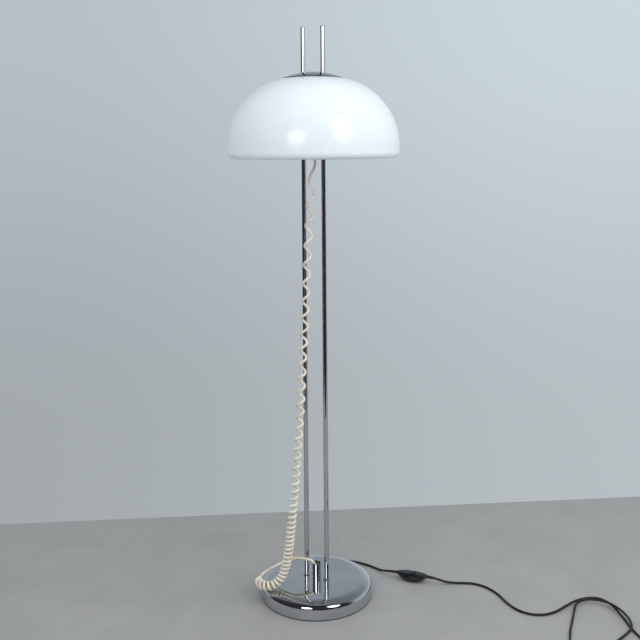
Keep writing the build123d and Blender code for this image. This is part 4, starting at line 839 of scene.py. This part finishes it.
coats = {slotName: paintFinish(slotName + "Finish", facts) for slotName, facts in finishes.items()}
slotOf = {part["node"]: part["material_slot"] for part in frame["record"]["subparts"]}
for nodeName, node in frame["nodes"].items():
    for place in node.material_slots:
        place.material = coats[slotOf[nodeName]]
print("finishes painted:", len(coats))


def dress(piece, slotName):
    piece.data.materials.clear()
    piece.data.materials.append(coats[slotName])


for piece in list(bpy.context.scene.objects):
    if "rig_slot" in piece and piece.type in {"MESH", "CURVE"}:
        dress(piece, piece["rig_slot"])

# Floor, lamps and surroundings
floorPaint = {
    "colour": (0.375, 0.375, 0.365), "darker": 0.93, "lighter": 1.05, "mottleRamp": (0.3, 0.72),
    "clouds": {"scale": 7, "detail": 6, "rough": 0.62, "warp": 0.5}, "cloudShare": 0.7,
    "grit": {"scale": 90, "detail": 4, "rough": 0.7}, "gritShare": 0.3,
    "rough": 0.62, "rougher": 0.2,
    "pores": {"scale": 260, "detail": 4, "rough": 0.7}, "relief": 0.0002, "strength": 0.6,
}
studio = {
    "floorWide": 3.4, "floorFront": 1.4, "floorBehind": 0.5, "floorTurn": 5.0, "floorAside": 0.1,
    "aimHeight": 0.85,
    "boxes": [
        {"name": "leftSoftbox", "aside": -21.0, "distance": 3.0, "height": 1.72, "size": (1.2, 1.3),
         "power": 19.0, "colour": (1.0, 0.99, 0.98)},
        {"name": "rightSoftbox", "aside": 39.0, "distance": 2.0, "height": 1.9, "size": (1.0, 1.6),
         "power": 14.0, "colour": (0.98, 0.99, 1.0)},
        {"name": "sideFill", "aside": 82.0, "distance": 2.6, "height": 1.9, "size": (1.8, 1.8),
         "power": 13.0, "colour": (0.98, 0.99, 1.0), "hidden": True},
        {"name": "topFill", "aside": 20.0, "distance": 0.9, "height": 3.2, "size": (2.2, 2.2),
         "power": 13.0, "colour": (1.0, 1.0, 1.0), "hidden": True},
    ],
    "pale": (0.60, 0.68, 0.735), "paleLow": (0.475, 0.52, 0.55),
    "dark": (0.04, 0.034, 0.042), "fill": (0.56, 0.585, 0.62), "upperShare": 0.68,
    # leftShadeShare: how strongly the painted shade darkens the backdrop's left side
    "darkAside": -16.0, "leftShadeShare": 0.24, "backdropHalf": 0.34,
    "paleRamp": (-0.3, 0.16), "upperRamp": (0.1, 0.8), "roomRamp": (-0.25, 0.15),
}


def paintFloor(facts):
    painter = Painter(bpy.data.materials.new("floorPaint"))
    shader = painter.tree.nodes["Principled BSDF"]
    mottle = (painter.noise(**facts["clouds"]) * facts["cloudShare"]
              + painter.noise(**facts["grit"]) * facts["gritShare"])
    first, second = (tuple(part * facts[key] for part in facts["colour"]) for key in ("darker", "lighter"))
    painter.put(shader.inputs["Base Color"], painter.colour(
        painter.ramp(mottle, *facts["mottleRamp"]), first, second))
    painter.put(shader.inputs["Roughness"], facts["rough"] + mottle * facts["rougher"])
    pores = painter.noise(**facts["pores"])
    painter.put(shader.inputs["Normal"], painter.bump(pores, facts["relief"], facts["strength"]))
    return painter.owner


def layFloor(facts):
    turn = math.radians(camera["azimuth"] + facts["floorTurn"])
    bpy.ops.mesh.primitive_plane_add(size=1, location=(0, 0, 0))
    floor = bpy.context.object
    floor.name = "studioFloor"
    deep = facts["floorFront"] + facts["floorBehind"]
    floor.scale = (facts["floorWide"], deep, 1)
    floor.rotation_euler = (0, 0, turn)
    away = Vector((-math.sin(turn), math.cos(turn), 0))
    floor.location = away * (facts["floorBehind"] - deep / 2) + photoRight * facts["floorAside"]
    applyPlace(floor)
    floor.data.materials.append(paintFloor(floorPaint))


def hangSoftbox(facts, aimHeight):
    aside = math.radians(facts["aside"])
    toward = photoBack * math.cos(aside) + photoRight * math.sin(aside)
    data = bpy.data.lights.new(facts["name"], "AREA")
    data.shape = "ELLIPSE"
    data.size, data.size_y = facts["size"]
    data.energy = facts["power"]
    data.color = facts["colour"]
    lamp = bpy.data.objects.new(facts["name"], data)
    bpy.context.scene.collection.objects.link(lamp)
    lamp.location = toward * facts["distance"] + Vector((0, 0, facts["height"]))
    lamp.visible_glossy = "hidden" not in facts
    aim = Vector((0, 0, aimHeight)) - lamp.location
    lamp.rotation_euler = aim.to_track_quat("-Z", "Y").to_euler()


def paintWorld(facts):
    world = bpy.data.worlds.new("studioSurroundings")
    bpy.context.scene.world = world
    painter = Painter(world)
    direction = painter.node("TexCoord", output=0)
    parts = painter.tree.nodes.new("ShaderNodeSeparateXYZ")
    painter.put(parts.inputs[0], direction)
    upward = Socket(painter, parts.outputs[2])
    aside = math.radians(facts["darkAside"])
    darkMiddle = photoBack * math.cos(aside) + photoRight * math.sin(aside)
    toward, across = (painter.node("VectorMath", {"operation": "DOT_PRODUCT"},
                                   {0: direction, 1: tuple(way)}, 1) for way in (darkMiddle, photoRight))
    even = painter.colour(painter.ramp(upward, *facts["paleRamp"]), facts["paleLow"], facts["pale"])
    # Painted shade: the backdrop is mixed towards dark on its left, as if the light fell mostly from the
    # right
    leftShade = painter.ramp(across, -facts["backdropHalf"], facts["backdropHalf"], facts["leftShadeShare"], 0.0)
    backdrop = painter.colour(leftShade, even, facts["dark"])
    darkening = painter.ramp(upward, *facts["upperRamp"], 0.0, facts["upperShare"])
    upper = painter.colour(darkening, backdrop, facts["dark"])
    room = painter.colour(painter.ramp(toward, *facts["roomRamp"]), upper, facts["dark"])
    paths = painter.tree.nodes.new("ShaderNodeLightPath")
    eye, gloss, through = (Socket(painter, paths.outputs[name]) for name in (
        "Is Camera Ray", "Is Glossy Ray", "Is Transmission Ray"))
    seen = painter.colour(eye, room, backdrop)
    shown = painter.colour((eye + gloss + through).least(1.0), facts["fill"], seen)
    painter.put(painter.tree.nodes["Background"].inputs["Color"], shown)


layFloor(studio)
for box in studio["boxes"]:
    hangSoftbox(box, studio["aimHeight"])
paintWorld(studio)
bpy.context.scene.view_settings.view_transform = "Standard"
print("studio set")
